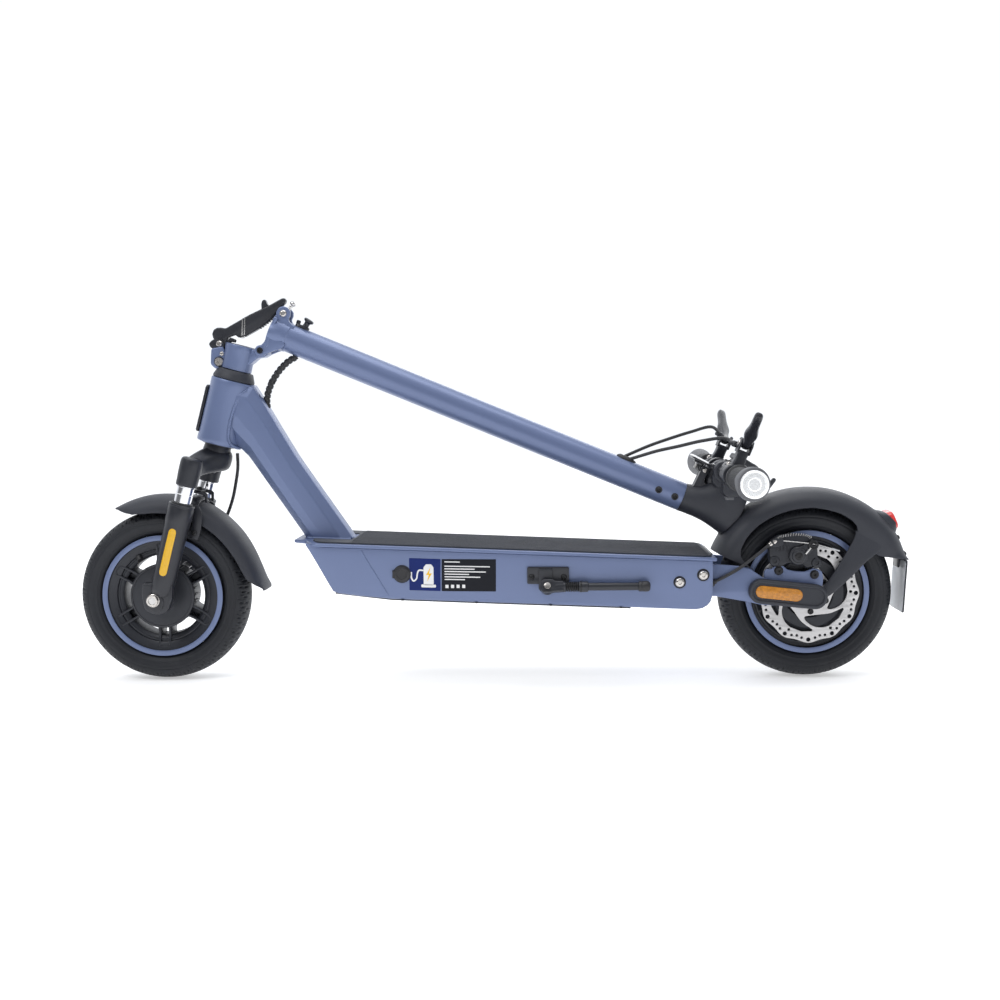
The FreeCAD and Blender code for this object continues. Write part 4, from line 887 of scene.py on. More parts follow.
v, f = helix((40.5, 32.4, 178.6), Vector((0.62, 0, 0.78)), 3.2, 13, 7, 0.55)
mesh("drum_return_spring", v, f, steel, "drum_arm")

# ==== head tube, down tube ===================================================================================
hl_ = 96.8
lathe("head_tube_shell", [(24, -hl_ + 0.2), (29.5, -hl_), (31.6, -hl_ + 0.5), (32.4, -hl_ + 1.8), (32.4, -hl_ + 8), (32.0, -hl_ + 11), (31.9, -50), (31.9, -12), (32.1, -9.5), (32.2, -2.0), (31.6, -0.6), (30.2, 0), (24, 0)], HT, A, paint, "root", n=96, closed=True, replaces=("head_tube",))
lathe("headset_cup_lower", [(14.6, -hl_ - 0.6), (27, -hl_ - 0.6), (28.2, -hl_ - 0.1), (28.2, -hl_ + 1.2), (14.6, -hl_ + 1.2)], HT, A, smooth_plastic, "root", n=72, closed=True)
lathe("headset_cone", [(14.3, 0.5), (30.2, 0.5), (30.9, 1.1), (30.9, 3.2), (26.6, 13.8), (25.6, 14.9), (14.3, 14.9)], HT, A, plastic, "steering", n=72, closed=True, replaces=("headset_cover",))

dt_path = [(131.0, 387.0), (150.0, 361.0), (172.0, 330.0), (196.0, 294.0), (216.0, 262.0), (234.0, 234.0), (243.0, 219.0), (250.0, 207.5)]


def dt_section(w, h, y_half):
    """faceted: flat sides, broad chamfers towards the rear upper edge. (across, y)"""
    a = h / 2
    pts = [(-a, -y_half * 0.45), (-a * 0.62, -y_half * 0.93), (-a * 0.2, -y_half), (a * 0.52, -y_half), (a * 0.93, -y_half * 0.55), (a, -y_half * 0.30),
           (a, y_half * 0.30), (a * 0.93, y_half * 0.55), (a * 0.52, y_half), (-a * 0.2, y_half), (-a * 0.62, y_half * 0.93), (-a, y_half * 0.45)]
    return fillet(pts, 5.5, 4)


lower = [(103.5, 362.0), (113, 351), (131.7, 332.3), (156, 296.5), (181, 260.0), (205.7, 223.9), (213.5, 211.8), (218, 205.5)]
upper_ = [(141.5, 436.8), (147.5, 427.0), (159.2, 407.9), (181, 370.0), (203.7, 331.6), (240.5, 277.5), (277.8, 223.3), (286.0, 210.5)]
rings = []
for i in range(len(lower) - 1):
    for s_ in range(4 if i < len(lower) - 2 else 5):
        t = s_ / 4
        lo_ = Vector((lower[i][0] * (1 - t) + lower[i + 1][0] * t, 0, lower[i][1] * (1 - t) + lower[i + 1][1] * t))
        up_ = Vector((upper_[i][0] * (1 - t) + upper_[i + 1][0] * t, 0, upper_[i][1] * (1 - t) + upper_[i + 1][1] * t))
        c = (lo_ + up_) / 2
        d = (up_ - lo_)
        rings.append([c + d.normalized() * a + Y * b for a, b in dt_section(0, d.length, 28.0)])
# the upper end is trimmed to the head tube's round
for ring in rings[:8]:
    for i, p in enumerate(ring):
        rel = p - HT
        t = rel.dot(A)
        q = rel - A * t
        if q.length < 30.5:
            push = math.sqrt(max(0, 30.5 ** 2 - q.y ** 2)) - q.dot(W)
            if push > 0:
                ring[i] = p + W * push
first = []
for p in rings[0]:
    rel = p - HT
    q = rel - A * rel.dot(A)
    lim = math.sqrt(max(0.0, 30.9 ** 2 - min(30.0, abs(q.y)) ** 2))
    first.append(p + W * (lim - q.dot(W)) if q.dot(W) > lim else Vector(p))
rings = [first] + rings
loft("down_tube_shell", rings, paint, "root", smooth=40, replaces=("down_tube",))


def weld_bead(name, pts, r, body="root", up=Y, n=None):
    """a row of overlapping ripples along a seam"""
    path = smooth_path(pts, 14)
    L_ = [0.0]
    for a, b in zip(path, path[1:]):
        L_.append(L_[-1] + (b - a).length)
    v, f = sweep_data(path, circle(r, 10), up=up, scale=lambda t: 1 + 0.16 * math.cos(2 * pi * t * L_[-1] / 3.1))
    mesh(name, v, f, paint, body, smooth=60)


def head_pt(ang, u, extra=0.0):
    """on the head tube: ang from straight behind, towards +Y"""
    return HT + A * u + (W * cos(rad(ang)) + Y * sin(rad(ang))) * (32.0 + extra)


seam = [head_pt(0, -2.5, 0.4)]
for a_, u_ in ((20, -4.5), (38, -10), (50, -20), (57, -34), (60, -50), (60, -64), (57, -78), (50, -88), (36, -93.0), (18, -94.6), (0, -95)):
    seam.append(head_pt(a_, u_, 0.2))
weld_bead("head_weld_right", seam, 2.5)
weld_bead("head_weld_left", [Vector((p.x, -p.y, p.z)) for p in seam], 2.5)
# the reflector in front of the head tube
fr_prof = fillet([(-35.5, -11.5), (-35.5, 11.5), (35.5, 11.5), (35.5, -11.5)], 6, 6)
fc = HT - W * 33.4 + A * -50.5
plate("front_reflector_backing", [fr_prof], -2.2, 2.2, smooth_plastic, "root", bevel=1.3, O=fc, U=A, V=Y, Nn=-W)
plate("front_reflector_lens", [fillet([(-34, -10), (-34, 10), (34, 10), (34, -10)], 5, 6)], 2.0, 5.4, white_lens_painted_glow, "root", bevel=1.2, O=fc, U=A, V=Y, Nn=-W)


# ==== deck =================================================================================================
def top_z(x):
    return 194.9 - 0.0438 * (x - 600)


stations = [(226.5, 209.8, 207.6), (232, 209.9, 198.0), (240, 210.0, 183.5), (250, 209.5, 165.5), (258, 209.0, 151.0), (264.4, 208.7, 140.2), (272, 208.4, 137.2), (300, 207.2, 133.6), (348.8, 205.2, 128.7), (412, 202.4, 126.0), (475.1, 199.4, 123.3),
            (580, 195.0, 119.1), (689.6, 190.0, 114.7), (760, 187.0, 111.7), (783, 186.0, 110.9), (792, 185.6, 112.6), (799, 185.3, 116.8), (803.4, 185.1, 122.6), (805.5, 185.0, 130.5), (805.9, 185.0, 137.0)]


def deck_box():
    rings = []
    for x, zt, zb in stations:
        zt = min(zt, top_z(x) - 1.2)
        h = zt - zb
        rr_ = min(5.0, max(0.6, h * 0.3))
        out = [(-86, zt), (-86, zb + rr_)] + [(-86 + rr_ - rr_ * cos(rad(a)), zb + rr_ - rr_ * sin(rad(a))) for a in (22, 45, 67, 90)] + \
              [(86 - rr_ + rr_ * sin(rad(a)), zb + rr_ - rr_ * cos(rad(a))) for a in (0, 22, 45, 67)] + [(86, zb + rr_), (86, zt)]
        t = min(3.0, h * 0.3)
        inn = [(y * (86 - t) / 86, (z + t) if z < zt else z) for y, z in out[::-1]]
        rings.append([Vector((x, y, z)) for y, z in out + inn])
    # the last stations turn up to the open rear end
    loft("deck_box", rings, paint, "root", smooth=38, replaces=("deck_shell",))
    # top plate, whose edges stand proud of the box as a rounded rim
    edge = fillet([(203, -50), (203, 50), (222, 58), (236, 92), (812, 92), (812, -92), (236, -92), (222, -58)], [8, 8, 8, 14, 4, 4, 14, 8], 6)
    U_ = Vector((1, 0, -0.0438)).normalized()
    Nn_ = Vector((0.0438, 0, 1)).normalized()
    O_ = Vector((0, 0, top_z(0)))
    plate("deck_top_plate", [[(x / U_.x, y) for x, y in edge]], -5.0, 0.0, paint, "root", bevel=2.2, O=O_, U=U_, V=Y, Nn=Nn_, res=4)
    # rubber mat with its slanted ribs
    m = fillet([(262, -84), (262, -24), (292, -24), (292, 24), (262, 24), (262, 84), (796, 84), (808, 74), (808, -74), (796, -84)], [5, 5, 4, 4, 5, 5, 4, 6, 6, 4], 4)
    m = fillet([(286, -84), (286, 84), (796, 84), (806, 76), (806, -76), (796, -84)], [6, 6, 4, 6, 6, 4], 4)
    plate("deck_mat_sheet", [[(x / U_.x, y) for x, y in m]], 0.0, 2.3, mat_m, "root", bevel=0.7, O=O_, U=U_, V=Y, Nn=Nn_, replaces=("deck_mat",))
    # the mat runs forward on both sides of the down tube's foot
    for k, nm in ((-1, "left"), (1, "right")):
        wing = fillet([(294, 84 * k), (250, 84 * k), (241, 78 * k), (233, 62 * k), (231, 44 * k), (294, 44 * k)], 4, 4)
        plate("deck_mat_wing_" + nm, [[(x / U_.x, y) for x, y in wing]], 0.0, 2.2, mat_m, "root", bevel=0.7, O=O_, U=U_, V=Y, Nn=Nn_)
    V_, F_ = [], []

    def rib(x0, y0, x1, y1, w=0.9, h0=2.1, h1=2.75):
        d = Vector((x1 - x0, y1 - y0, 0)).normalized()
        n = Vector((-d.y, d.x, 0))
        k = len(V_)
        for (x, y) in ((x0, y0), (x1, y1)):
            for a, h in ((-w, h0), (-w * 0.45, h1), (w * 0.45, h1), (w, h0)):
                V_.append(O_ + U_ * ((x + n.x * a) / U_.x) + Y * (y + n.y * a) + Nn_ * h)
        F_.extend([(k, k + 1, k + 5, k + 4), (k + 1, k + 2, k + 6, k + 5), (k + 2, k + 3, k + 7, k + 6), (k, k + 3, k + 2, k + 1), (k + 4, k + 5, k + 6, k + 7), (k, k + 4, k + 7, k + 3)])
    x = 180.0
    while x < 920:
        a, b = x, x + 0.0
        # each rib runs at 45 degrees across the mat, clipped to it
        t0, t1 = -79.0, 79.0
        lo_, hi_ = 291.0, 801.0
        ya, yb = max(t0, lo_ - x), min(t1, hi_ - x)
        if yb - ya > 4:
            rib(x + ya, ya, x + yb, yb)
        x += 4.4
    mesh("deck_mat_ribs", V_, F_, mat_m, "root", smooth=30)
    v, f = [], []
    for y in (-81.4, 81.4):
        pth = [O_ + U_ * (x / U_.x) + Y * y + Nn_ * 2.3 for x in (292, 400, 600, 799)]
        q = sweep_data(pth, rrect(1.4, 0.9, 0.4, 2), up=Nn_)
        v.append(q)
    V2, F2 = merge(v)
    mesh("deck_mat_borders", V2, F2, mat_m, "root")
    # dark cover strip at the deck's rear end
    plate("deck_rear_cap", [fillet([(801, -58), (801, 58), (811, 52), (811, -52)], 3, 4)], 0.0, 1.6, smooth_plastic, "root", bevel=0.6, O=O_, U=U_, V=Y, Nn=Nn_)
    # seam where the nose's folded plate is welded to the sides
    for k, nm in ((-1, "left"), (1, "right")):
        weld_bead("nose_weld_" + nm, [Vector((x, 86.0 * k, z)) for x, z in ((305.9, 199.5), (316, 182), (330, 158.5), (344.5, 134.0))], 0.75)
        # lengthwise crease where the side plate meets the rim
        pth = [Vector((x, 86.4 * k, top_z(x) - 6.3)) for x in (246, 400, 600, 803)]
        v_, f_ = sweep_data(pth, rrect(1.6, 1.0, 0.4, 2), up=Z)
        mesh("deck_rim_seam_" + nm, v_, f_, paint, "root")


deck_box()
# seams where the down tube stands on the deck
weld_bead("deck_weld_left", [Vector((x, -28.2, top_z(x) + 0.6)) for x in (219, 240, 262, 283)], 1.9)
weld_bead("deck_weld_right", [Vector((x, 28.2, top_z(x) + 0.6)) for x in (219, 240, 262, 283)], 1.9)
weld_bead("deck_weld_rear", [Vector((286.5, y, top_z(286.5) + 0.8)) for y in (-24, -8, 8, 24)], 2.2, up=X)
# floor cover
cv = [(267, 138.2, 136.4), (300, 134.3, 132.4), (348.8, 128.6, 126.6), (412, 125.9, 123.9), (475.1, 123.2, 121.2), (580, 118.9, 116.9), (690, 114.5, 112.5)]
rings = []
for x, zt, zb in cv:
    rings.append([Vector((x, y, z)) for y, z in [(-80, zt), (-80, zb + 0.8), (-79.2, zb)] + [(q, zb) for q in (-60, -30, 0, 30, 60)] + [(79.2, zb), (80, zb + 0.8), (80, zt)] + [(60, zt), (0, zt), (-60, zt)]])
loft("floor_cover", rings, plastic, "root", smooth=30, replaces=("bottom_cover",))
sc = []
for x in (364, 470, 576, 676):
    zb = 128.7 + (x - 348.8) * (123.3 - 128.7) / (475.1 - 348.8) if x < 475.1 else 123.3 + (x - 475.1) * (114.7 - 123.3) / (689.6 - 475.1)
    for k in (-1, 1):
        sc.append((Vector((x, 83.2 * k, zb)), Vector((-0.0404, 0, -0.99918)), 2.6, 1.6, 1.2))
bolts("floor_cover_screws", sc, blackbolt, "root", replaces=("frame_screws",))
# big button-head bolts through the sides, on black washers
big = []
for k in (-1, 1):
    for x, z in ((759.1, 150.7), (792.5, 160.9)):
        big.append((Vector((x, 86.9 * k, z)), Y * k, 6.9, 3.8, 3.0))
bolts("side_bolts", big, boltm, "root")
v, f = merge([lathe_data([(3, -0.4), (8.6, -0.4), (8.9, 0.2), (8.6, 1.0), (7.2, 1.2), (3, 1.2)], (x, 86 * k, z), Y * k, 40, True) for k in (-1, 1) for x, z in ((759.1, 150.7), (792.5, 160.9))])
mesh("side_bolt_washers", v, f, blackbolt, "root")

# charging port and its rubber cap
lathe("charge_port_ring", [(8.6, 0), (12.6, 0), (12.9, 0.5), (12.4, 1.1), (8.6, 1.1)], (364.1, -86.0, 165.2), -Y, blackmetal, "root", n=56, closed=True)
lathe("charge_cap_disc", [(0, 0.5), (9.6, 0.5), (11.0, 0.9), (11.4, 1.7), (11.0, 2.9), (9.7, 3.5), (7.4, 3.3), (6.9, 2.7), (0, 2.5)], (364.1, -86.2, 165.2), -Y, rubber, "charge_cap", n=56, replaces=("charge_cap",))
plate("charge_cap_tab", [fillet([(350.6, 160.5), (350.6, 170), (357.5, 171), (357.5, 159.5)], 2.2, 5)], -89.4, -86.5, rubber, "charge_cap", bevel=0.9)
lathe("charge_cap_hinge", solid(1.5, 11.5, 0.5), (352, -88.6, 159.4), Z, rubber, "charge_cap", n=20)

# plain stickers, in place of the printed ones
plate("blue_sticker", [fillet([(374.5, 141.9), (374.5, 188.1), (419.4, 186.3), (418.9, 140.3)], 1.2, 4)], -86.32, -86.0, sticker, "root", bevel=0.08)
plate("data_label", [fillet([(420.6, 140.2), (421.1, 186.2), (498.6, 185.4), (498.1, 139.2)], 1.2, 4)], -86.32, -86.0, label, "root", bevel=0.08)
pic = []
pump = fillet([(395.0, 149.0), (395.0, 174.5), (398.5, 179), (406.0, 179), (409.3, 174.5), (409.3, 149.0)], 2.6, 5)
plate("sticker_pump", [pump], -86.5, -86.3, ink_white, "root", bevel=0.05)
plate("sticker_pump_base", [fillet([(391.5, 146), (391.5, 150.2), (412.5, 149.6), (412.5, 145.4)], 1.5, 4)], -86.5, -86.3, ink_white, "root", bevel=0.05)
plate("sticker_spark", [[(404.6, 174.2), (398.6, 163.6), (402.2, 163.6), (400.0, 154.2), (406.8, 165.8), (403.0, 165.8)]], -86.66, -86.48, ink_yellow, "root", bevel=0.03)
hose = smooth_path([Vector((377.5, -86.4, 168)), Vector((377.6, -86.4, 160)), Vector((380.5, -86.4, 155.2)), Vector((384.8, -86.4, 158.6)), Vector((386.2, -86.4, 166)), Vector((388.6, -86.4, 170.4)), Vector((394.8, -86.4, 170.2))], 6)
v, f = sweep_data(hose, rrect(0.3, 2.2, 0.1, 1), up=Vector((0, 1, 0)))
v, f = sweep_data(hose, rrect(2.2, 0.3, 0.1, 1), up=Y)
mesh("sticker_hose", v, f, ink_white, "root")
# generic rules and blocks on the data label
bars = []
for i, (x0, x1, z) in enumerate([(425, 447, 181.6), (425, 490, 175.4), (425, 468, 171.6), (425, 484, 167.8), (425, 460, 164.0), (425, 476, 160.2), (425, 454, 156.4)]):
    sl = -0.022
    bars.append([(x0, z + sl * (x0 - 425)), (x0, z + 1.5 + sl * (x0 - 425)), (x1, z + 1.5 + sl * (x1 - 425)), (x1, z + sl * (x1 - 425))])
for i in range(4):
    x0 = 426 + 8 * i
    bars.append([(x0, 144.6), (x0, 149.4), (x0 + 4.4, 149.3), (x0 + 4.4, 144.5)])
for i, b_ in enumerate(bars[:1]):
    pass
V_, F_ = [], []
for b_ in bars:
    k = len(V_)
    V_ += [Vector((x, y, z)) for y in (-86.48, -86.3) for x, z in b_]
    F_ += [(k, k + 1, k + 2, k + 3), (k + 4, k + 7, k + 6, k + 5)] + [(k + i, k + 4 + i, k + 4 + (i + 1) % 4, k + (i + 1) % 4) for i in range(4)]
mesh("label_rules", V_, F_, ink_white, "root")

# ==== side stand =============================================================================================
SX, SZ, SY = 571.6, 147.2, 98.5
tl = rad(20)
SA = Vector((0, cos(tl), -sin(tl)))
SU = Vector((0, sin(tl), cos(tl)))
SPT = Vector((SX, -SY, SZ))
kp = fillet([(542.8, 150), (542.8, 174.3), (602.4, 173.9), (602.4, 149.6)], 2.6, 5)
plate("stand_plate", [kp, disc_pts(549.0, 160.2, 2.4, 20), disc_pts(595.2, 160, 2.4, 20)], -90, -86, blackmetal, "root", bevel=0.9, replaces=("stand_bracket",))
lug = fillet([(559.2, 172.2), (578.8, 172.2), (578.8, 150), (578.4, 141), (575, 138.3), (563.5, 138.3), (559.2, 143)], [3, 3, 1, 3, 3, 3, 3], 5)
plate("stand_lug", [lug], -92.6, -89.6, blackmetal, "root", bevel=1.0)
bolts("stand_plate_screws", [(Vector((549.0, -90.0, 160.2)), -Y, 4.2, 2.6, 1.8), (Vector((595.2, -90.0, 160.0)), -Y, 4.2, 2.6, 1.8)], blackbolt, "root")
ckp = fillet([(-10, -10.5), (-10, 19), (9, 19), (9, -8), (6, -11)], [3, 4, 4, 3, 3], 5)
lathe("stand_pivot_cup", [(4.1, 5.35), (9.4, 5.35), (9.9, 5.9), (9.9, 9.6), (9.3, 10.2), (4.1, 10.2)], SPT, SA, blackmetal, "root", n=44, closed=True)
lathe("stand_pivot_pin", [(0, -9.6), (3.2, -9.6), (4.6, -9.2), (5.0, -8.4), (4.9, -7.7), (3.9, -7.6), (3.9, 9.5), (0, 9.5)], SPT, SA, boltm, "root", n=32)
# the swinging knuckle: a block with an eye, then rod, spring, collars and rubber foot
kn = fillet([(-9.2, -6), (-9.2, 7), (-5, 10), (7, 10), (11, 7.6), (23, 7.2), (23, -7.2), (9, -8), (3, -9.2), (-5, -9.2)], [4, 4, 4, 4, 2, 1.5, 1.5, 3, 4, 4], 5)
plate("stand_knuckle", [kn, disc_pts(0, 0, 4.1, 24)], -7.3, 5.0, blackmetal, "stand", bevel=1.6, O=SPT, U=X, V=SU, Nn=SA, replaces=("stand_leg",))
rod0 = SPT + X * 8
lathe("stand_rod", [(0, 3), (7.4, 3), (7.7, 5), (7.7, 16.5), (7.2, 17.6), (5.2, 18.2), (4.6, 20), (4.6, 34), (5.4, 36), (7.4, 36.6), (7.7, 38), (7.7, 48), (7.1, 49.4), (5.9, 50), (5.7, 52), (5.6, 122), (5.2, 123), (0, 123)], rod0, X, blackmetal, "stand", n=40)
lathe("stand_foot_rubber", [(4.8, 120.5), (6.8, 120.5), (7.4, 121.6), (7.4, 124.5), (6.9, 125.2), (7.5, 126), (7.7, 131), (7.2, 134.5), (5.5, 136.6), (2.5, 137.2), (0, 137.2)], rod0, X, rubber, "stand", n=40)
v, f = helix(rod0 + X * 17.6, X, 6.4, 19.0, 6.5, 1.15, n=20, k=8)
mesh("stand_spring", v, f, blackbolt, "stand", smooth=60)
lathe("stand_collar_ring", [(5.0, 0), (7.9, 0), (8.1, 0.5), (8.1, 2.0), (7.7, 2.6), (5.0, 2.6)], rod0 + X * 38, X, blackbolt, "stand", n=36, closed=True)

# ==== rear arms, axle, covers ===================================================================================
arm_side = fillet([(742, 176), (812.5, 173.2), (845, 170.4), (861, 167.0), (872, 159.4), (882, 152.4), (905, 146), (948, 143.5), (963, 138), (967.5, 127), (963, 116), (950, 111), (915, 112.2), (877, 114.5), (862.7, 118.0), (812.6, 127.2), (742, 130)],
                  [2, 20, 20, 10, 8, 14, 20, 12, 10, 8, 10, 10, 20, 20, 20, 20, 2], 5)
for k, nm in ((-1, "left"), (1, "right")):
    plate("rear_arm_" + nm, [arm_side, disc_pts(950, 127, 6.2, 32)], *sorted((58.0 * k, 66.0 * k)), paint, "root", bevel=1.6, replaces=("rear_arms",) if k < 0 else ())
    plate("rear_arm_foot_" + nm, [fillet([(746, 172), (800, 170), (800, 134), (746, 136)], 3, 4)], *sorted((66.0 * k, 82.8 * k)), paint, "root", bevel=1.2)
plate("rear_cross_plate", [fillet([(-58, 123), (-58, 178), (58, 178), (58, 123)], 3, 4)], 793, 799, paint, "root", bevel=1.0, O=(0, 0, 0), U=Y, V=Z, Nn=X)
br = fillet([(883, 120), (883, 161), (885.5, 164.6), (894, 165.2), (898.5, 169.8), (905.5, 171.4), (911.5, 168.4), (916, 163.8), (928, 161.6), (941, 161.0), (947, 163.4), (953, 165.6), (960, 164.6), (965.5, 160.4), (967.4, 152), (966.6, 141), (955, 125)],
            [2, 3, 2, 3, 3, 3, 3, 5, 8, 5, 3, 3, 3, 3, 3, 3, 4], 5)
plate("caliper_bracket", [br, disc_pts(903.6, 162.6, 2.6, 20), disc_pts(954.6, 156.6, 2.6, 20)], -57.2, -52.6, paint, "root", bevel=1.0)
bolts("caliper_bolts", [(Vector((903.6, -57.2, 162.6)), -Y, 5.2, 4.2, 2.3, 28, False), (Vector((954.6, -57.2, 156.6)), -Y, 5.2, 4.2, 2.3, 28, False)], blackbolt, "root")
v, f = merge([lathe_data([(2, 0), (6.2, 0), (6.5, 0.4), (6.5, 0.9), (6.2, 1.2), (2, 1.2)], (x, -57.0, z), -Y, 36, True) for x, z in ((903.6, 162.6), (954.6, 156.6))])
mesh("caliper_bolt_washers", v, f, blackbolt, "root")

cdir = Vector((69, 0, -7.5)).normalized()
cnor = Vector((7.5, 0, 69)).normalized()
cmid = Vector((915.5, 0, 130.75))


def capsule(hl, r, n=14, o=cmid, U_=cdir, V_=cnor, dx=0.0):
    pts = []
    for i in range(n + 1):
        a = rad(-90 + 180 * i / n)
        pts.append((hl + dx + r * cos(a), r * sin(a)))
    for i in range(n + 1):
        a = rad(90 + 180 * i / n)
        pts.append((-hl + dx + r * cos(a), r * sin(a)))
    return pts


for k, nm in ((-1, "left"), (1, "right")):
    # domed capsule cover: rings from the foot to the sunk face
    rings = []
    for r, y in ((17.4, 66.2), (17.8, 67.0), (17.9, 74.0), (17.5, 76.2), (16.6, 77.9), (15.2, 78.8), (13.9, 78.9), (12.9, 78.5), (12.4, 77.6), (12.2, 76.4)):
        rings.append([cmid + cdir * u + cnor * w + Y * (y * k) for u, w in capsule(38.3, r, dx=-1.1)])
    rings = rings
    loft("axle_cover_" + nm, rings, plastic, "root", smooth=45, replaces=("axle_covers",) if k < 0 else ())
    ams = capsule(24.4, 8.9, dx=-14.4)
    rings = []
    for s_, y in ((1.0, 76.2), (1.0, 77.6), (0.97, 78.3), (0.92, 78.6)):
        rings.append([cmid + cdir * (-14.4 + (u + 14.4) * (1 if s_ == 1 else (1 - (1 - s_) * 0.28))) + cnor * (w * s_) + Y * (y * k) for u, w in ams])
    loft("side_reflector_" + nm, rings, amber, "root", smooth=45)
    lathe("rear_axle_nut_" + nm, [(6.0, 0), (9.6, 0), (9.9, 0.6), (9.9, 1.4), (8.4, 2.0), (8.4, 6.6), (7.6, 7.4), (0, 7.4)], (950, 66.2 * k, 127), Y * k, boltm, "root", n=6 * 6, replaces=("rear_axle",) if k < 0 else ())
lathe("rear_axle_rod", [(0, -73), (5.0, -73), (5.9, -72), (5.9, 72), (5.0, 73), (0, 73)], RW, Y, steel, "root", n=32)

# ==== rear mudguard ================================================================================================
R_rear = [(156, 148.8), (147, 149.4), (130, 150.2), (115, 150.8), (106, 151.2), (95, 151.6), (88, 152.0), (76, 153.4), (64, 154.2), (52, 155.4), (46, 156.4), (40, 157.2), (33, 156.6), (27, 155.6), (22, 154.6), (18.6, 153.8)]
rin_rear = [(156, 88), (154.6, 98), (153, 108), (150, 114.5), (146, 118.6), (138, 121.8), (127, 124), (108, 124.4), (88, 124.8), (69.5, 124.2), (61, 122.6), (56, 119.6), (53.4, 115), (51.5, 110.6), (48, 109.6), (36, 109.8), (31, 111.4), (28.6, 114), (26.5, 118.6), (24.4, 126), (22, 134.5), (19.9, 142.5), (18.6, 150)]
ths = arange(156.0, 18.6, 118)
rings = guard_rings(RW, ths, lambda t: smooth_tab(R_rear, t), lambda t: interp(rin_rear, t), 46.0, 27.0, 26, 2.6, yscale=lambda t: interp([(156, 1.0), (30, 1.0), (22, 0.97), (18.6, 0.90)], t))
loft("rear_mudguard", rings, plastic, "root", smooth=50, replaces=("rear_fender",))


def stay(k, nm):
    """the mudguard's leg, down to the axle cover"""
    left = [(1012.0, 222), (1017.5, 214.7), (1009.5, 200.5), (1000.9, 186.5), (989.0, 168.5), (976.3, 148.9), (964.5, 134.8), (957.5, 128.5)]
    right = [(1062, 203), (1052.5, 189.8), (1044.3, 183.4), (1032.4, 176.1), (1018.8, 162.8), (1004.7, 148.7), (984.4, 131.6), (973.5, 121.5)]
    yo = [44.9, 46.5, 49.2, 52.0, 54.6, 56.6, 57.7, 57.9]
    yi = [43.5, 44.0, 45.4, 47.4, 50.0, 52.0, 53.4, 53.8]
    rings = []
    for (lx, lz), (rx, rz), o_, i_ in zip(left, right, yo, yi):
        l_, r_ = Vector((lx, 0, lz)), Vector((rx, 0, rz))
        ring = []
        for t, q in ((0, 0.5), (0.02, 0.85), (0.07, 1.0), (0.3, 1.0), (0.5, 1.0), (0.7, 1.0), (0.93, 1.0), (0.98, 0.85), (1.0, 0.5), (0.98, 0.15), (0.93, 0), (0.5, 0.0), (0.07, 0), (0.02, 0.15)):
            bulge = 1.6 * math.sin(pi * t) * min(1.0, max(0.0, (o_ - 46.0) / 6.0)) if q > 0.6 else 0
            ring.append(l_.lerp(r_, t) + Y * (k * (i_ + (o_ - i_) * q + bulge * 0.6)))
        rings.append(ring)
    loft("mudguard_stay_" + nm, rings, plastic, "root", sub=1, smooth=50)


each(lambda k: stay(k, "left" if k < 0 else "right"))
bolts("mudguard_tail_screws", [(Vector((950 + r * cos(rad(a)), y, 127 + r * sin(rad(a)))), Vector((cos(rad(a)), 0, sin(rad(a)))), 3.6, 2.2, 1.6) for a, r, y in ((30.5, 154.4, -18), (30.5, 154.4, 18), (21.0, 152.6, -20), (21.0, 152.6, 20))], blackbolt, "root")
# tail light housing that swells out of the mudguard, and its lens
rings = []
e1 = Vector((cos(rad(41.5)), 0, sin(rad(41.5))))
t1 = Vector((-sin(rad(41.5)), 0, cos(rad(41.5))))
for h_, a_, b_, sh in ((146.5, 27, 31, 0), (152.5, 25.0, 30.0, 0), (156.6, 20.5, 28.2, -1.0), (160.0, 16.5, 26.6, -2.2), (162.6, 14.4, 25.4, -3.4), (163.6, 13.2, 24.4, -3.8)):
    rings.append([RW + e1 * (h_ + (0.9 if h_ > 155 else 0) * q / 14 * -1.0) + t1 * (q + sh) + Y * p for p, q in superell(b_, a_, 3.0, 44)])
loft("tail_light_housing", rings, plastic, "root", sub=1, smooth=50)
lens_c = Vector((1076.2, 0, 230.2))
ln = Vector((0.919, 0, 0.395)).normalized()
lt = Vector((-0.395, 0, 0.919)).normalized()
rings = []
for h_, s_ in ((-6.0, 0.99), (-0.5, 1.0), (2.0, 0.985), (3.4, 0.95), (4.4, 0.88), (5.0, 0.72), (5.2, 0.4)):
    rings.append([lens_c + ln * (h_ - 1.0) + lt * (q * s_) + Y * (p * s_) for p, q in superell(25.0, 14.4, 3.6, 48)])
loft("tail_light_lens", rings, red, "root", smooth=45, replaces=("tail_light",))
# number plate carrier and its reflective sheet
pn = Vector((-4.9, 0, -77)).normalized()
plate_o = Vector((1092.2, 0, 173.2))
pl = fillet([(0, -35), (0, 35), (77, 35), (77, -35)], 4.0, 6)
pnn = Vector((pn.z, 0, -pn.x)) * -1
plate("plate_back", [pl], -0.9, 1.3, smooth_plastic, "root", bevel=0.6, O=plate_o, U=pn, V=Y, Nn=pnn, replaces=("number_plate",))
plate("plate_face", [fillet([(1.5, -33.6), (1.5, 33.6), (75.6, 33.6), (75.6, -33.6)], 3.2, 6), disc_pts(9, -22, 2.2, 20), disc_pts(9, 22, 2.2, 20)], -1.9, -0.8, sheetm, "root", bevel=0.3, O=plate_o, U=pn, V=Y, Nn=pnn)
plate("plate_bracket", [fillet([(1080, 186), (1086.5, 183.5), (1088.6, 172), (1087.2, 160), (1084.4, 160), (1084.6, 172), (1081, 181)], 1.2, 4)], -13, 13, smooth_plastic, "root", bevel=0.8)
bolts("plate_screws", [(plate_o + pn * 9 + pnn * 1.2 + Y * y, pnn, 3.0, 1.8, 1.3) for y in (-22, 22)], blackbolt, "root")

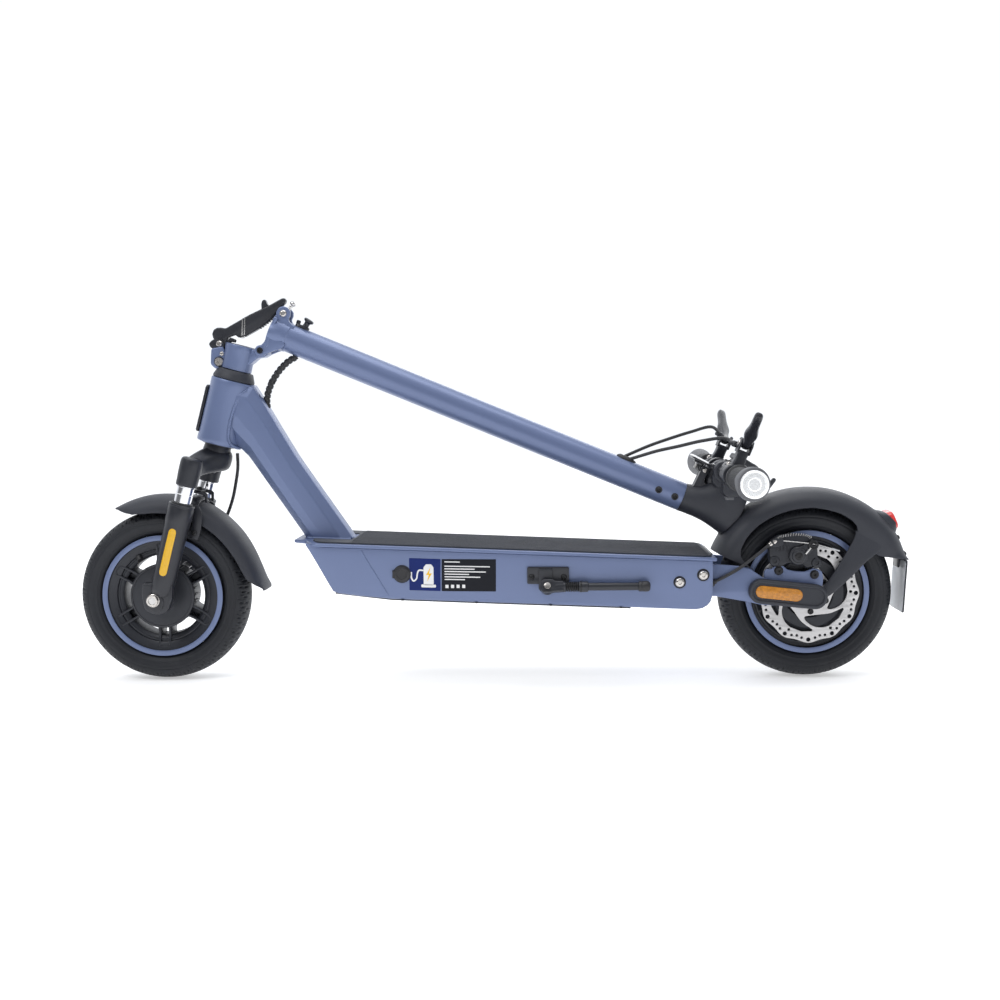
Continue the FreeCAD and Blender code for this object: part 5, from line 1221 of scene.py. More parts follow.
# ==== rear brake =======================================================================================================
cal = fillet([(890.5, 173.5), (889.5, 195), (893.5, 206.5), (903, 212.8), (921, 215.4), (942, 213.6), (953.5, 207), (958.5, 196), (960.5, 176), (958, 168.5), (944, 165), (936, 171), (917, 172.5), (908, 167.5), (897, 167)],
             [3, 6, 6, 6, 8, 8, 6, 6, 4, 3, 4, 4, 4, 4, 4], 5)
plate("caliper_outer", [cal], -57.8, -42.2, castmetal, "root", bevel=2.6, replaces=("brake_caliper",))
cal2 = fillet([(899, 190), (901, 207), (921, 212), (943, 210), (952, 199), (953, 187), (941, 181.6), (912, 181.6)], 5, 5)
plate("caliper_inner", [cal2], -36.0, -33.2, castmetal, "root", bevel=1.0)
plate("caliper_bridge", [fillet([(903, 200.6), (905, 208), (921, 211.6), (942, 209.4), (949, 201.6), (940, 200.9), (921, 201.6), (910, 200.8)], 2, 4)], -43, -35, castmetal, "root", bevel=0.8)
for i, (x, z) in enumerate(((897.5, 176.5), (957.5, 173.5))):
    lathe("caliper_lug_%d" % (i + 1), [(0, 0), (6.8, 0), (7.4, 0.8), (7.4, 9), (6.6, 10), (3.2, 10.4), (3.0, 8.4), (0, 8.4)], (x, -49.5, z), -Y, castmetal, "root", n=36)
rbs = []
for i in range(4):
    rbs.append(sweep_data([Vector((899 + 4.6 * i, -58.3, 208.5 - 0.2 * i)), Vector((902.5 + 4.6 * i, -58.3, 198.0)), Vector((901 + 4.6 * i, -58.1, 190.5))], rrect(1.6, 1.6, 0.5, 2), up=Y))
v, f = merge(rbs)
mesh("caliper_fins", v, f, castmetal, "root")
armc = Vector((930.7, 0, 184.3))
lathe("caliper_arm_disc", [(0, 0), (12.2, 0), (13.3, 0.8), (13.5, 2.0), (13.2, 4.6), (12.2, 5.6), (9.6, 5.9), (8.8, 7.1), (6.8, 7.3), (0, 7.3)], (930.7, -59.2, 184.3), -Y, blackmetal, "caliper_arm", n=56, replaces=("caliper_arm",))
armp = fillet([(-9.5, 4), (-4, 11), (8, 15.5), (17.5, 21.0), (23.5, 20.6), (26.5, 16.0), (24.6, 11.2), (14.0, 2.5), (7.5, -7.0), (-4, -9.5)], 4.5, 5)
plate("caliper_arm_lever", [armp, disc_pts(20.8, 16.0, 2.4, 20)], -63.6, -60.4, blackmetal, "caliper_arm", bevel=0.8, O=armc)
bolts("caliper_arm_bolts", [(Vector((930.7, -66.4, 184.3)), -Y, 5.6, 1.6, 2.6), (Vector((951.5, -63.4, 200.3)), -Y, 5.4, 3.6, 2.3)], blackbolt, "caliper_arm")
lathe("caliper_arm_bolt_seat", [(4.8, 0), (7.4, 0), (7.6, 0.5), (7.2, 3.2), (6.2, 3.6), (4.8, 3.4)], (951.5, -63.0, 200.3), -Y, blackbolt, "caliper_arm", n=36, closed=True)
pawl = fillet([(8.5, 4.0), (15.8, 12.6), (17.6, 11.4), (10.5, 2.4)], 0.8, 3)
plate("caliper_arm_pointer", [pawl], -67.4, -66.4, steel, "caliper_arm", bevel=0.3, O=armc)
# return spring over the caliper, cable stop with its barrel, and the inner wire
arcp = smooth_path([Vector((903.5, -56.6, 209.6)), Vector((909, -56.6, 211.9)), Vector((920, -56.6, 214.0)), Vector((932, -56.6, 214.6)), Vector((943, -56.6, 213.2)), Vector((951, -56.6, 209.4))], 10)
hp = []
u0 = Y
L_ = len(arcp)
for i in range(150):
    t = i / 149 * (L_ - 1)
    j = min(int(t), L_ - 2)
    c = arcp[j].lerp(arcp[j + 1], t - j)
    tan = (arcp[j + 1] - arcp[j]).normalized()
    sd = tan.cross(Y).normalized()
    a = 2 * pi * i / 9.0
    hp.append(c + sd * 2.1 * cos(a) + Y * 2.1 * sin(a))
v, f = sweep_data(hp, circle(0.5, 6), up=Y)
mesh("caliper_return_spring", v, f, steel, "root", smooth=70)
bd = (Vector((905, -59.4, 210.2)) - Vector((889.5, -62.4, 200.6))).normalized()
lathe("cable_stop_barrel", [(0, 0), (3.2, 0), (3.5, 0.8), (3.5, 4.0), (2.7, 4.6), (2.7, 6), (4.1, 6.5), (4.3, 8.0), (4.1, 11.6), (3.2, 12.2), (2.2, 12.6), (2.2, 17), (0, 17)], Vector((889.0, -62.6, 200.2)), bd, boltm, "root", n=28)
stop = fillet([(893, 196), (890.5, 205.5), (897.5, 210.5), (909, 209.5), (909.5, 200.5), (902, 197)], 2.5, 4)
plate("cable_stop_arm", [stop], -64.6, -57.4, castmetal, "root", bevel=1.2)
wire = smooth_path([Vector((904, -61.6, 206.4)), Vector((925, -63.8, 204.6)), Vector((951.5, -65.4, 201.6)), Vector((966, -65.2, 198.0)), Vector((979, -64.6, 194.2))], 8)
v, f = sweep_data(wire, circle(0.75, 8), up=Y)
iw = mesh("brake_inner_wire", v, f, steel, "caliper_arm", smooth=70)
if iw is not None:
    iw.parent = None
    if "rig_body" in iw:
        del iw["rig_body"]
    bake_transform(iw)
lathe("wire_end_cap", [(0, 0), (1.2, 0), (1.35, 0.6), (1.35, 11), (0.9, 11.8), (0, 12)], wire[-1] - (wire[-1] - wire[-2]).normalized() * 1.5, (wire[-1] - wire[-2]), alu, "caliper_arm", n=14)
rb = smooth_path([Vector((806.2, -71, 147)), Vector((828, -71, 158)), Vector((850, -70, 171)), Vector((872, -67, 187.6)), Vector((890.5, -62.5, 201.2))], 12)
v, f = sweep_data(rb, circle(2.45, 14), up=Y)
mesh("rear_brake_hose", v, f, rubber, "root", smooth=70, replaces=("rear_brake_cable",))
lathe("rear_hose_grommet", [(2.4, -4), (5.2, -4), (5.6, -2), (5.4, 2), (3.8, 3.4), (3.4, 7), (2.4, 7)], rb[0], (rb[2] - rb[0]), rubber, "root", n=28, closed=True)

# parts inside the casings take their own finishes
for n_, m_ in (("headset_bearings", steel), ("rear_wheel_bearings", steel), ("front_wheel_bearings", steel), ("battery_pack", wrap), ("motor_controller", alu), ("motor_stator", alu)):
    N[n_].data.materials.clear()
    N[n_].data.materials.append(m_)


# ==== folding joint ============================================================================================
lathe("fold_collar", [(11.2, 34.4), (14.4, 34.4), (14.4, 15.5), (21.6, 15.5), (22.7, 16.2), (22.9, 18), (22.6, 26), (22.7, 38), (23.1, 43), (23.5, 46.4), (23.5, 50.4), (23.1, 52.2), (22.2, 52.9), (20.2, 52.9), (19.4, 52.2), (18.8, 49.5), (18.4, 46.2), (11.2, 45.6)],
      HT, A, paint, "steering", n=96, closed=True, replaces=("fold_base",))
lathe("fold_seat", [(11.2, 46), (18.6, 46.3), (19.6, 52.0), (20.3, 53.1), (19.6, 53.4), (12, 53.4), (11.2, 52.6)], HT, A, smooth_plastic, "steering", n=80, closed=True)
arm = fillet([(12, 25), (17, 25.5), (22.4, 31), (30.0, 41.5), (38.4, 44.6), (43.4, 49), (43.8, 55), (39.6, 60.0), (33.4, 60.0), (28.6, 56.2), (24.6, 51.9), (12, 51.9)], [0, 4, 8, 8, 5, 4, 4, 5, 5, 4, 3, 0], 5)
plate("fold_arm", [arm], -13.6, 13.6, paint, "steering", bevel=2.2, O=HT, U=W, V=A, Nn=Y)
for k, nm in ((-1, "left"), (1, "right")):
    lg = fillet([(81.5, 492.5), (97, 494.5), (101.0, 480), (103.5, 468), (94, 461.8), (84.5, 462.4), (77.8, 468.6), (78.6, 482), (79.2, 490)], [3, 2, 2, 3, 6, 6, 7, 5, 3], 5)
    plate("front_lug_" + nm, [lg], *sorted((7.4 * k, 12.0 * k)), paint, "steering", bevel=1.6)
    ear = fillet([(79.2, 503.5), (84, 506.2), (92, 506.0), (97.6, 502.5), (98.0, 496), (96.6, 491.4), (80.6, 491.4), (77.0, 494.4), (75.2, 499.2)], [3, 3, 4, 4, 3, 1.5, 2, 3, 3], 5)
    plate("latch_ear_" + nm, [ear], *sorted((6.9 * k, 8.35 * k)), blackmetal, "steering", bevel=0.5, replaces=("latch_bracket",) if k < 0 else ())
plate("front_lug_web", [fillet([(86.5, 488), (97, 489), (101, 470), (92, 463.8), (85, 466)], 3, 4)], -8, 8, paint, "steering", bevel=0.8)
items = []
for k in (-1, 1):
    items += [(Vector((LC.x, 8.3 * k, LC.z)), Y * k, 4.9, 2.6, 2.4), (Vector((95.1, 11.9 * k, 484.0)), Y * k, 3.3, 1.8, 1.4), (Vector((91.0, 11.9 * k, 472.4)), Y * k, 6.3, 3.8, 3.0, 32, False)]
bolts("latch_bolts", items, boltm, "steering")
v, f = merge([lathe_data([(3, 0), (7.1, 0), (7.5, 0.5), (7.5, 1.2), (7.1, 1.5), (3, 1.5)], (91.0, 11.7 * k, 472.4), Y * k, 40, True) for k in (-1, 1)])
mesh("latch_bolt_washers", v, f, blackbolt, "steering")
items = [(Vector((PIN.x, 20.6 * k, PIN.z)), Y * k, 4.5, 2.6, 2.5, 28, False) for k in (-1, 1)]
bolts("fold_pin_heads", items, blackbolt, "steering", replaces=("fold_pin",))
lathe("fold_pin_rod", [(0, -21), (3.0, -21), (3.0, 21), (0, 21)], PIN, Y, steel, "steering", n=24)

# latch lever with its hook, its cam and two bright bands
LU, LV = Vector((cos(la), 0, sin(la))), Vector((-sin(la), 0, cos(la)))
HU, HV = Vector((cos(rad(32)), 0, sin(rad(32)))), Vector((-sin(rad(32)), 0, cos(rad(32))))
lev = fillet([(3, 3.4), (9, 1.4), (20, 1.6), (26.2, 0.2), (28.8, -6.0), (33, -8.6), (38.4, -9.6), (55, -10.0), (68, -9.6), (86, -7.2), (100, -1), (114.5, 3.0), (118.2, 6.2), (117.2, 10.2), (113, 11.6), (95, 12), (60, 15), (20, 15.4), (17, 17)], [2, 3, 4, 3, 4, 3, 4, 20, 20, 20, 10, 4, 3, 3, 3, 20, 40, 4, 2], 5)
blade = plate("latch_blade", [lev], -6.4, 6.4, blackmetal, "latch", bevel=1.9, O=LC, U=LU, V=LV, Nn=Y, replaces=("latch_lever",), res=3)
# slot under the blade where the swing bolt's nut lies once the stem is upright
slot = fillet([(18.0, -12), (20.6, 3.0), (22.0, 6.0), (27.6, 10.6), (32.8, 8.6), (37.4, 1.4), (36.2, -4.0), (37.6, -14)], [1, 1, 2, 2, 2, 2, 2, 1], 4)
cut_b = plate("latch_slot_cut", [slot], -5.5, 5.5, blackmetal, "latch", bevel=0.02, O=LC, U=HU, V=HV, Nn=Y, res=1)
bm_ = blade.modifiers.new("slot", "BOOLEAN")
bm_.operation, bm_.solver, bm_.object = "DIFFERENCE", "EXACT", cut_b
bpy.context.view_layer.update()
old = blade.data
blade.modifiers[-1].show_viewport = True
cutme = bpy.data.meshes.new_from_object(blade.evaluated_get(bpy.context.evaluated_depsgraph_get()))
blade.modifiers.remove(bm_)
if len(cutme.vertices) > len(old.vertices) * 0.6:
    blade.data = cutme
bpy.data.objects.remove(cut_b, do_unlink=True)
head = fillet([(-3.6, 6), (-4.4, 12), (-2.6, 18.4), (2.6, 22.6), (8.4, 22.8), (13.8, 20.0), (18, 16.4), (18.4, 6), (12, -1.4), (5, -5.6), (-3.6, -4.6)], [3, 3, 4, 4, 4, 4, 3, 5, 3, 4, 3], 5)
plate("latch_head", [head, disc_pts(0, 0, 3.1, 24)], -6.2, 6.2, blackmetal, "latch", bevel=2.2, O=LC, U=LU, V=LV, Nn=Y, res=3)
for k in (-1, 1):
    rb_ = [fillet([(26.5, 0.5 + 0.2), (30.5, -6.2), (34.6, -8.0), (39, -8.6), (66, -8.7), (85, -6.1), (98, -0.4), (97, 1.0), (84, -4.2), (66, -6.9), (39, -6.9), (35.2, -6.2), (32, -4.8), (28.4, 1.4)], 1.0, 3)]
    plate("latch_edge_rib_%d" % (k + 2), rb_, *sorted((6.1 * k, 7.0 * k)), blackmetal, "latch", bevel=0.35, O=LC, U=LU, V=LV, Nn=Y)
for i, a_ in enumerate((32.4, 36.4)):
    bd_ = [(a_, -9.2), (a_ + 1.8, -9.4), (a_ + 17.1, 15.05), (a_ + 15.3, 15.1)]
    plate("latch_band_%d" % i, [bd_], -6.62, 6.62, steel, "latch", bevel=0.15, O=LC, U=LU, V=LV, Nn=Y)
th = fillet([(78.5, 11.0), (83.0, 19.6), (86.5, 23.2), (90.5, 23.4), (91.6, 20.6), (90.8, 16), (91.5, 11)], [2, 4, 2.4, 2.4, 2, 3, 1], 4)
plate("latch_thumb_tab", [th], -5.2, 5.2, blackmetal, "latch", bevel=1.3, O=LC, U=LU, V=LV, Nn=Y)
teeth = []
for i in range(9):
    a_ = 64 + 4.2 * i
    p_ = interp([(55, -10.0), (68, -9.6), (86, -7.2), (100, -1)], a_)
    teeth.append(loft_data([[LC + LU * (a_ + s0) + LV * (p_ + 0.6 - h_) + Y * y_ for s0, y_ in rrect(2.0, 8.5, 0.6, 2)] for h_ in (0, 1.7)]))
v, f = merge(teeth)
mesh("latch_teeth", v, f, blackmetal, "latch", bevel=0.25)
# the black hook under the lever, that reaches down to the base
hk = fillet([(4, -2.6), (10, -3.4), (18.5, -0.6), (22.5, -6.8), (20.8, -8.8), (18.4, -9.4), (17.0, -6.6), (13.3, -5.5), (9.6, -7.2), (8.6, -9.8), (6.2, -10.4), (3.8, -7.6)], 0.9, 4)
for k in (-1, 1):
    plate("latch_hook_%d" % (k + 2), [hk], *sorted((3.7 * k, 6.3 * k)), blackmetal, "latch", bevel=0.5, O=LC, U=HU, V=HV, Nn=Y)

# ==== stem ========================================================================================================
tube_p = [(18.5, 2.2), (19.2, 0.9), (22.2, 0.35), (23.1, 0.8), (23.5, 2.0), (23.5, 13.5), (23.3, 16.0), (22.6, 20), (22.1, 24), (22.2, 26.5), (21.8, 28.2), (21.15, 28.9), (21.0, 30)]
for t_ in (90, 150, 220, 300, 380, 460, 540, 600, 650):
    tube_p.append((21.0, t_))
tube_p += [(20.7, 654.6), (20.2, 655.0), (18.5, 655.0), (18.5, 40)]
lathe("stem_tube_shell", tube_p, M0, SD, paint, "stem", n=112, closed=True, replaces=("stem_tube",))
for k, nm in ((-1, "left"), (1, "right")):
    lo_l = fillet([(1.2, -6), (0.6, -18), (-1.6, -23.6), (-7.2, -27.6), (-8.8, -33.4), (-6.4, -39.0), (-0.4, -41.0), (6.0, -39.0), (10.6, -33.0), (18, -26.0), (27.5, -18.8), (31, -11), (27, -6)], [1, 3, 3, 4, 6, 6, 6, 6, 5, 8, 6, 5, 2], 6)
    plate("stem_arm_" + nm, [lo_l], *sorted((14.2 * k, 20.8 * k)), paint, "stem", bevel=1.7, O=M0, U=SD, V=SN, Nn=Y, res=3)
    up_l = fillet([(1.0, 8), (0.8, 20), (1.4, 25.6), (0.2, 29.5), (1.6, 36.4), (6.6, 40.6), (13.2, 40.9), (19.4, 37.0), (21.4, 30.6), (20.6, 25.6), (24.5, 21.8), (33, 18.8), (33, 8)], [1, 4, 3, 4, 6, 6, 6, 6, 5, 4, 4, 2, 2], 6)
    plate("clevis_lug_" + nm, [up_l, disc_pts(10.7, 30.4, 3.9, 28)], *sorted((8.5 * k, 15.4 * k)), paint, "stem", bevel=1.6, O=M0, U=SD, V=SN, Nn=Y, res=3)
    # raised rib that runs down the casting between its two lugs
    rbp = fillet([(0.9, 22), (1.0, -20), (5.0, -27), (9.2, -22), (6.2, -8), (5.6, 10), (7.4, 22)], 3.0, 5)
    plate("stem_cheek_" + nm, [rbp], *sorted((17.0 * k, 21.4 * k)), paint, "stem", bevel=1.8, O=M0, U=SD, V=SN, Nn=Y, res=3)
cl = SF(10.7, 30.4)
lathe("clevis_pin_rod", [(0, -17), (3.9, -17), (3.9, 17), (0, 17)], cl, Y, steel, "stem", n=32)
bolts("clevis_pin_heads", [(cl + Y * (15.2 * k), Y * k, 5.3, 2.8, 2.5) for k in (-1, 1)], boltm, "stem", replaces=("clevis_pin",))
sbd = (Vector((203.0, 0, 553.1)) - Vector((196.9, 0, 545.8))).normalized()
sb0 = cl
lathe("swing_bolt", [(0, 0), (2.9, 0), (3.1, 1.0), (3.1, 3.0), (2.9, 5.4), (2.4, 7.0), (2.4, 14.6), (2.3, 16.2), (4.2, 17.0), (4.9, 18.2), (5.0, 19.6), (4.2, 21.4), (2.4, 22.4), (0, 22.6)], sb0, sbd, steel, "stem", n=36)
lathe("swing_bolt_eye", [(4.0, -3.4), (6.6, -3.4), (7.2, -2.8), (7.2, 2.8), (6.6, 3.4), (4.0, 3.4)], cl, Y, blackmetal, "stem", n=40, closed=True)
v, f = loft_data([[sb0 + sbd * t_ + Vector((-sbd.z, 0, sbd.x)) * p + Y * q for p, q in rrect(w_, min(w_, 6.4), 1.0, 2)] for t_, w_ in ((4.5, 8.0), (8.4, 7.0), (9.4, 5.0))])
mesh("swing_bolt_shoulder", v, f, blackmetal, "stem", bevel=0.4)
# bag hook on the tube
rings = []
for n_, a_, b_ in ((20.2, 10.6, 6.4), (23.6, 10.6, 6.4), (24.6, 9.8, 5.8), (25.0, 8.6, 4.8)):
    rings.append([SF(41.5 + p, n_ - 0.035 * q * q * (1 if n_ < 21 else 0), q) for p, q in superell(a_, b_, 3.2, 36)])
loft("hook_base", rings, blackmetal, "stem", replaces=())
lathe("hook_nub", [(0, 0), (3.0, 0), (3.3, 0.8), (3.3, 4.0), (2.6, 5.4), (0, 5.8)], SF(33.6, 24.4), SN, blackmetal, "stem", n=28)
hd = (SN * 0.97 + SD * 0.20).normalized()
lathe("hook_knob", [(0, -2), (5.0, -2), (4.6, 0.4), (4.2, 1.8), (4.2, 5.6), (4.9, 6.8), (6.9, 8.0), (7.6, 9.2), (7.6, 10.8), (6.6, 12.0), (3.4, 12.6), (0, 12.7)], SF(45.2, 24.4), hd, blackmetal, "stem", n=44)
# two black screws by the tube's rear end, on each side
it, wsh = [], []
for k in (-1, 1):
    for s_, n_ in ((617.3, -2.3), (642.9, -2.9)):
        it.append((SF(s_, n_, 20.9 * k), Y * k, 3.4, 1.9, 1.7))
        wsh.append(lathe_data([(3.0, -0.8), (5.0, -0.8), (5.3, -0.2), (5.2, 0.6), (4.4, 0.9), (3.6, 0.5), (3.0, 0.5)], SF(s_, n_, 20.9 * k), Y * k, 36, True))
bolts("stem_screws", it, blackbolt, "stem")
v, f = merge(wsh)
mesh("stem_screw_rings", v, f, smooth_plastic, "stem")
rings = []
for n_, a_, b_ in ((19.0, 15.4, 8.4), (21.2, 15.4, 8.4), (22.6, 14.6, 7.8), (24.2, 11.6, 6.0), (25.2, 9.4, 5.0), (25.4, 8.0, 4.2)):
    rings.append([SF(558.6 + p - (n_ - 20) * 0.5, n_ - 0.028 * q * q * (1 if n_ < 22 else 0.6), q) for p, q in superell(a_, b_, 2.3, 40)])
loft("cable_grommet", rings, rubber, "stem", smooth=50)

# ==== neck, clamp ==========================================================================================


def rear_surface(th, y):
    R_ = smooth_tab(R_rear, th)
    q = min(1.0, abs(y) / 46.0)
    return R_ - 27.0 * (1 - (1 - q ** 2.3) ** (1 / 2.3))


nt_ = [((779.2, 285.0), (763.0, 246.2), 21.5, 2.0), ((783.5, 284.4), (768.5, 244.4), 22.2, 2.05), ((790, 283.4), (777.5, 240.8), 23.4, 2.2), ((802, 284.2), (792.5, 234.5), 25.2, 2.4), ((818, 288.5), (806, 226.5), 27.0, 2.6), ((836, 292.0), (818, 217.5), 28.6, 2.8),
       ((852, 289.0), (827, 210.5), 29.2, 2.9), ((862, 279.0), (832, 206.5), 28.6, 2.9), ((866.5, 266), (835, 203.5), 27.6, 2.8)]
rings = []
fine = []
for i in range(len(nt_) - 1):
    for s_ in range(5):
        t = s_ / 5
        a_, b_ = nt_[i], nt_[i + 1]
        fine.append((Vector((a_[0][0], 0, a_[0][1])).lerp(Vector((b_[0][0], 0, b_[0][1])), t), Vector((a_[1][0], 0, a_[1][1])).lerp(Vector((b_[1][0], 0, b_[1][1])), t), a_[2] * (1 - t) + b_[2] * t, a_[3] * (1 - t) + b_[3] * t))
a_ = nt_[-1]
fine.append((Vector((a_[0][0], 0, a_[0][1])), Vector((a_[1][0], 0, a_[1][1])), a_[2], a_[3]))
sm = []
for i in range(len(fine)):
    ws = [fine[max(0, min(len(fine) - 1, i + d))] for d in (-3, -2, -1, 0, 1, 2, 3)] if 2 < i < len(fine) - 3 else [fine[i]]
    sm.append((sum((w_[0] for w_ in ws), Vector((0, 0, 0))) / len(ws), sum((w_[1] for w_ in ws), Vector((0, 0, 0))) / len(ws), sum(w_[2] for w_ in ws) / len(ws), sum(w_[3] for w_ in ws) / len(ws)))
for tp, bt, hw, ex in sm:
    c = (tp + bt) / 2
    d = (tp - bt) / 2
    ring = [c + d * q + Y * (hw * p) for p, q in superell(1.0, 1.0, ex, 72)]
    out = []
    for p in ring:
        rel = Vector((p.x - RW.x, 0, p.z - RW.z))
        th_ = math.degrees(math.atan2(rel.z, rel.x))
        lim = rear_surface(th_, p.y) + 1.4
        if rel.length < lim:
            p = RW + rel.normalized() * lim + Y * p.y
        out.append(p)
    rings.append(out)
loft("neck_shell", rings, plastic, "stem", smooth=50, replaces=("neck_cover",))
lathe("neck_seam", [(20.3, 0), (21.3, 0), (21.5, 0.5), (21.3, 1.0), (20.3, 1.0)], SF(654.9, 0), SD, smooth_plastic, "stem", n=96, closed=True)
for k, nm in ((-1, "left"), (1, "right")):
    lathe("bar_clamp_" + nm, [(11.0, 4), (15.2, 4), (16.0, 4.8), (16.2, 7), (16.2, 22.5), (15.6, 24.6), (14.2, 25.4), (11.0, 25.4)], BAR, Y * k, plastic, "stem", n=64, closed=True)
cap_ = fillet([(813.5, 287), (813.5, 296), (817.6, 304), (819.5, 311.5), (826, 317.5), (834, 319.0), (842, 316.0), (847.4, 309), (850.5, 300), (856.5, 291), (858, 283), (840, 280), (820, 280)], [3, 4, 4, 4, 5, 5, 5, 5, 5, 4, 3, 3, 3], 5)
plate("bar_clamp_block", [cap_], -23.0, 23.0, plastic, "stem", bevel=2.6, res=3)
bolts("bar_clamp_bolts", [(Vector((838.5, y, 317.4)), Vector((0.42, 0, 0.9)), 3.6, 2.4, 1.7) for y in (-15, 15)], blackbolt, "stem")

# ==== headlight, its bracket and the white reflector =============================================================
LH = Vector((812.5, 0, 282.85))
LD = Vector((7.3, 0, 30.9)).normalized()
hp_ = [(0, 1.0), (7.4, 1.0), (8.6, 1.8), (9.2, 3.4), (9.5, 6), (9.7, 9)]
t = 9.6
while t < 24:
    hp_ += [(9.85 + t * 0.03, t), (9.85 + t * 0.03, t + 1.1), (9.2 + t * 0.03, t + 1.5), (9.2 + t * 0.03, t + 2.0)]
    t += 2.4
hp_ += [(10.9, 24.6), (11.2, 25.4), (11.3, 29.6), (11.0, 30.6), (10.2, 31.2), (9.4, 31.2), (9.1, 29.8), (6, 27.0), (0, 26.2)]
lathe("headlight_body", hp_, LH, LD, blackmetal, "stem", n=64, replaces=("headlight",))
lathe("headlight_reflector", [(9.0, 29.6), (8.6, 28.4), (5.5, 25.8), (2.4, 24.9), (0, 24.8)], LH + LD * 0.8, LD, silver_painted_glow, "stem", n=48)
lathe("headlight_lens", [(0, 31.6), (3, 31.5), (6.5, 31.1), (8.9, 30.4), (9.25, 29.8), (9.0, 29.4), (6.5, 30.0), (3, 30.3), (0, 30.4)], LH, LD, clear, "stem", n=56)
bk = fillet([(783.5, 281.0), (787.5, 283.2), (797.2, 303.6), (798.6, 309.4), (801.8, 312.0), (807.2, 310.2), (809.4, 305.0), (806.6, 299.0), (803.2, 292), (802.0, 283.5), (800, 281)], [1, 2, 4, 3, 3, 3, 3, 4, 4, 2, 1], 5)
for k in (-1, 1):
    plate("lamp_bracket_%d" % (k + 2), [bk], *sorted((8.8 * k, 11.6 * k)), blackmetal, "stem", bevel=0.8)
plate("lamp_bracket_web", [fillet([(785, 281.5), (788, 283.5), (798, 304), (799.5, 302.5), (791, 284.5), (790, 281.5)], 0.8, 3)], -9.5, 9.5, blackmetal, "stem", bevel=0.5)
bolts("lamp_bracket_bolts", [(Vector((803.4, 11.5 * k, 304.6)), Y * k, 3.6, 2.2, 1.6) for k in (-1, 1)], boltm, "stem")
rd = Vector((22.8, 0, -12.1)).normalized()
rn = Vector((12.1, 0, 22.8)).normalized()
rc = Vector((796.4, 0, 320.6))
plate("stem_reflector_back", [fillet([(-12.8, -26), (-12.8, 26), (12.8, 26), (12.8, -26)], 4, 5)], -2.2, 0.4, smooth_plastic, "stem", bevel=0.9, O=rc, U=rd, V=Y, Nn=rn)
plate("stem_reflector_lens", [fillet([(-12.4, -25.4), (-12.4, 25.4), (12.4, 25.4), (12.4, -25.4)], 3.6, 5)], 0.3, 2.7, white_lens_painted_glow, "stem", bevel=0.9, O=rc, U=rd, V=Y, Nn=rn)
lathe("stem_reflector_post", [(0, 0), (3.4, 0), (3.6, 0.6), (3.6, 3.4), (2.4, 4.4), (2.4, 12.0), (0, 12.0)], rc - rn * 2.0, -rn, steel, "stem", n=28)
plate("stem_reflector_foot", [fillet([(-6, -8), (-6, 8), (9.0, 8), (9.0, -8)], 2, 4)], -5.6, -2.2, blackmetal, "stem", bevel=0.9, O=rc, U=rd, V=Y, Nn=rn)

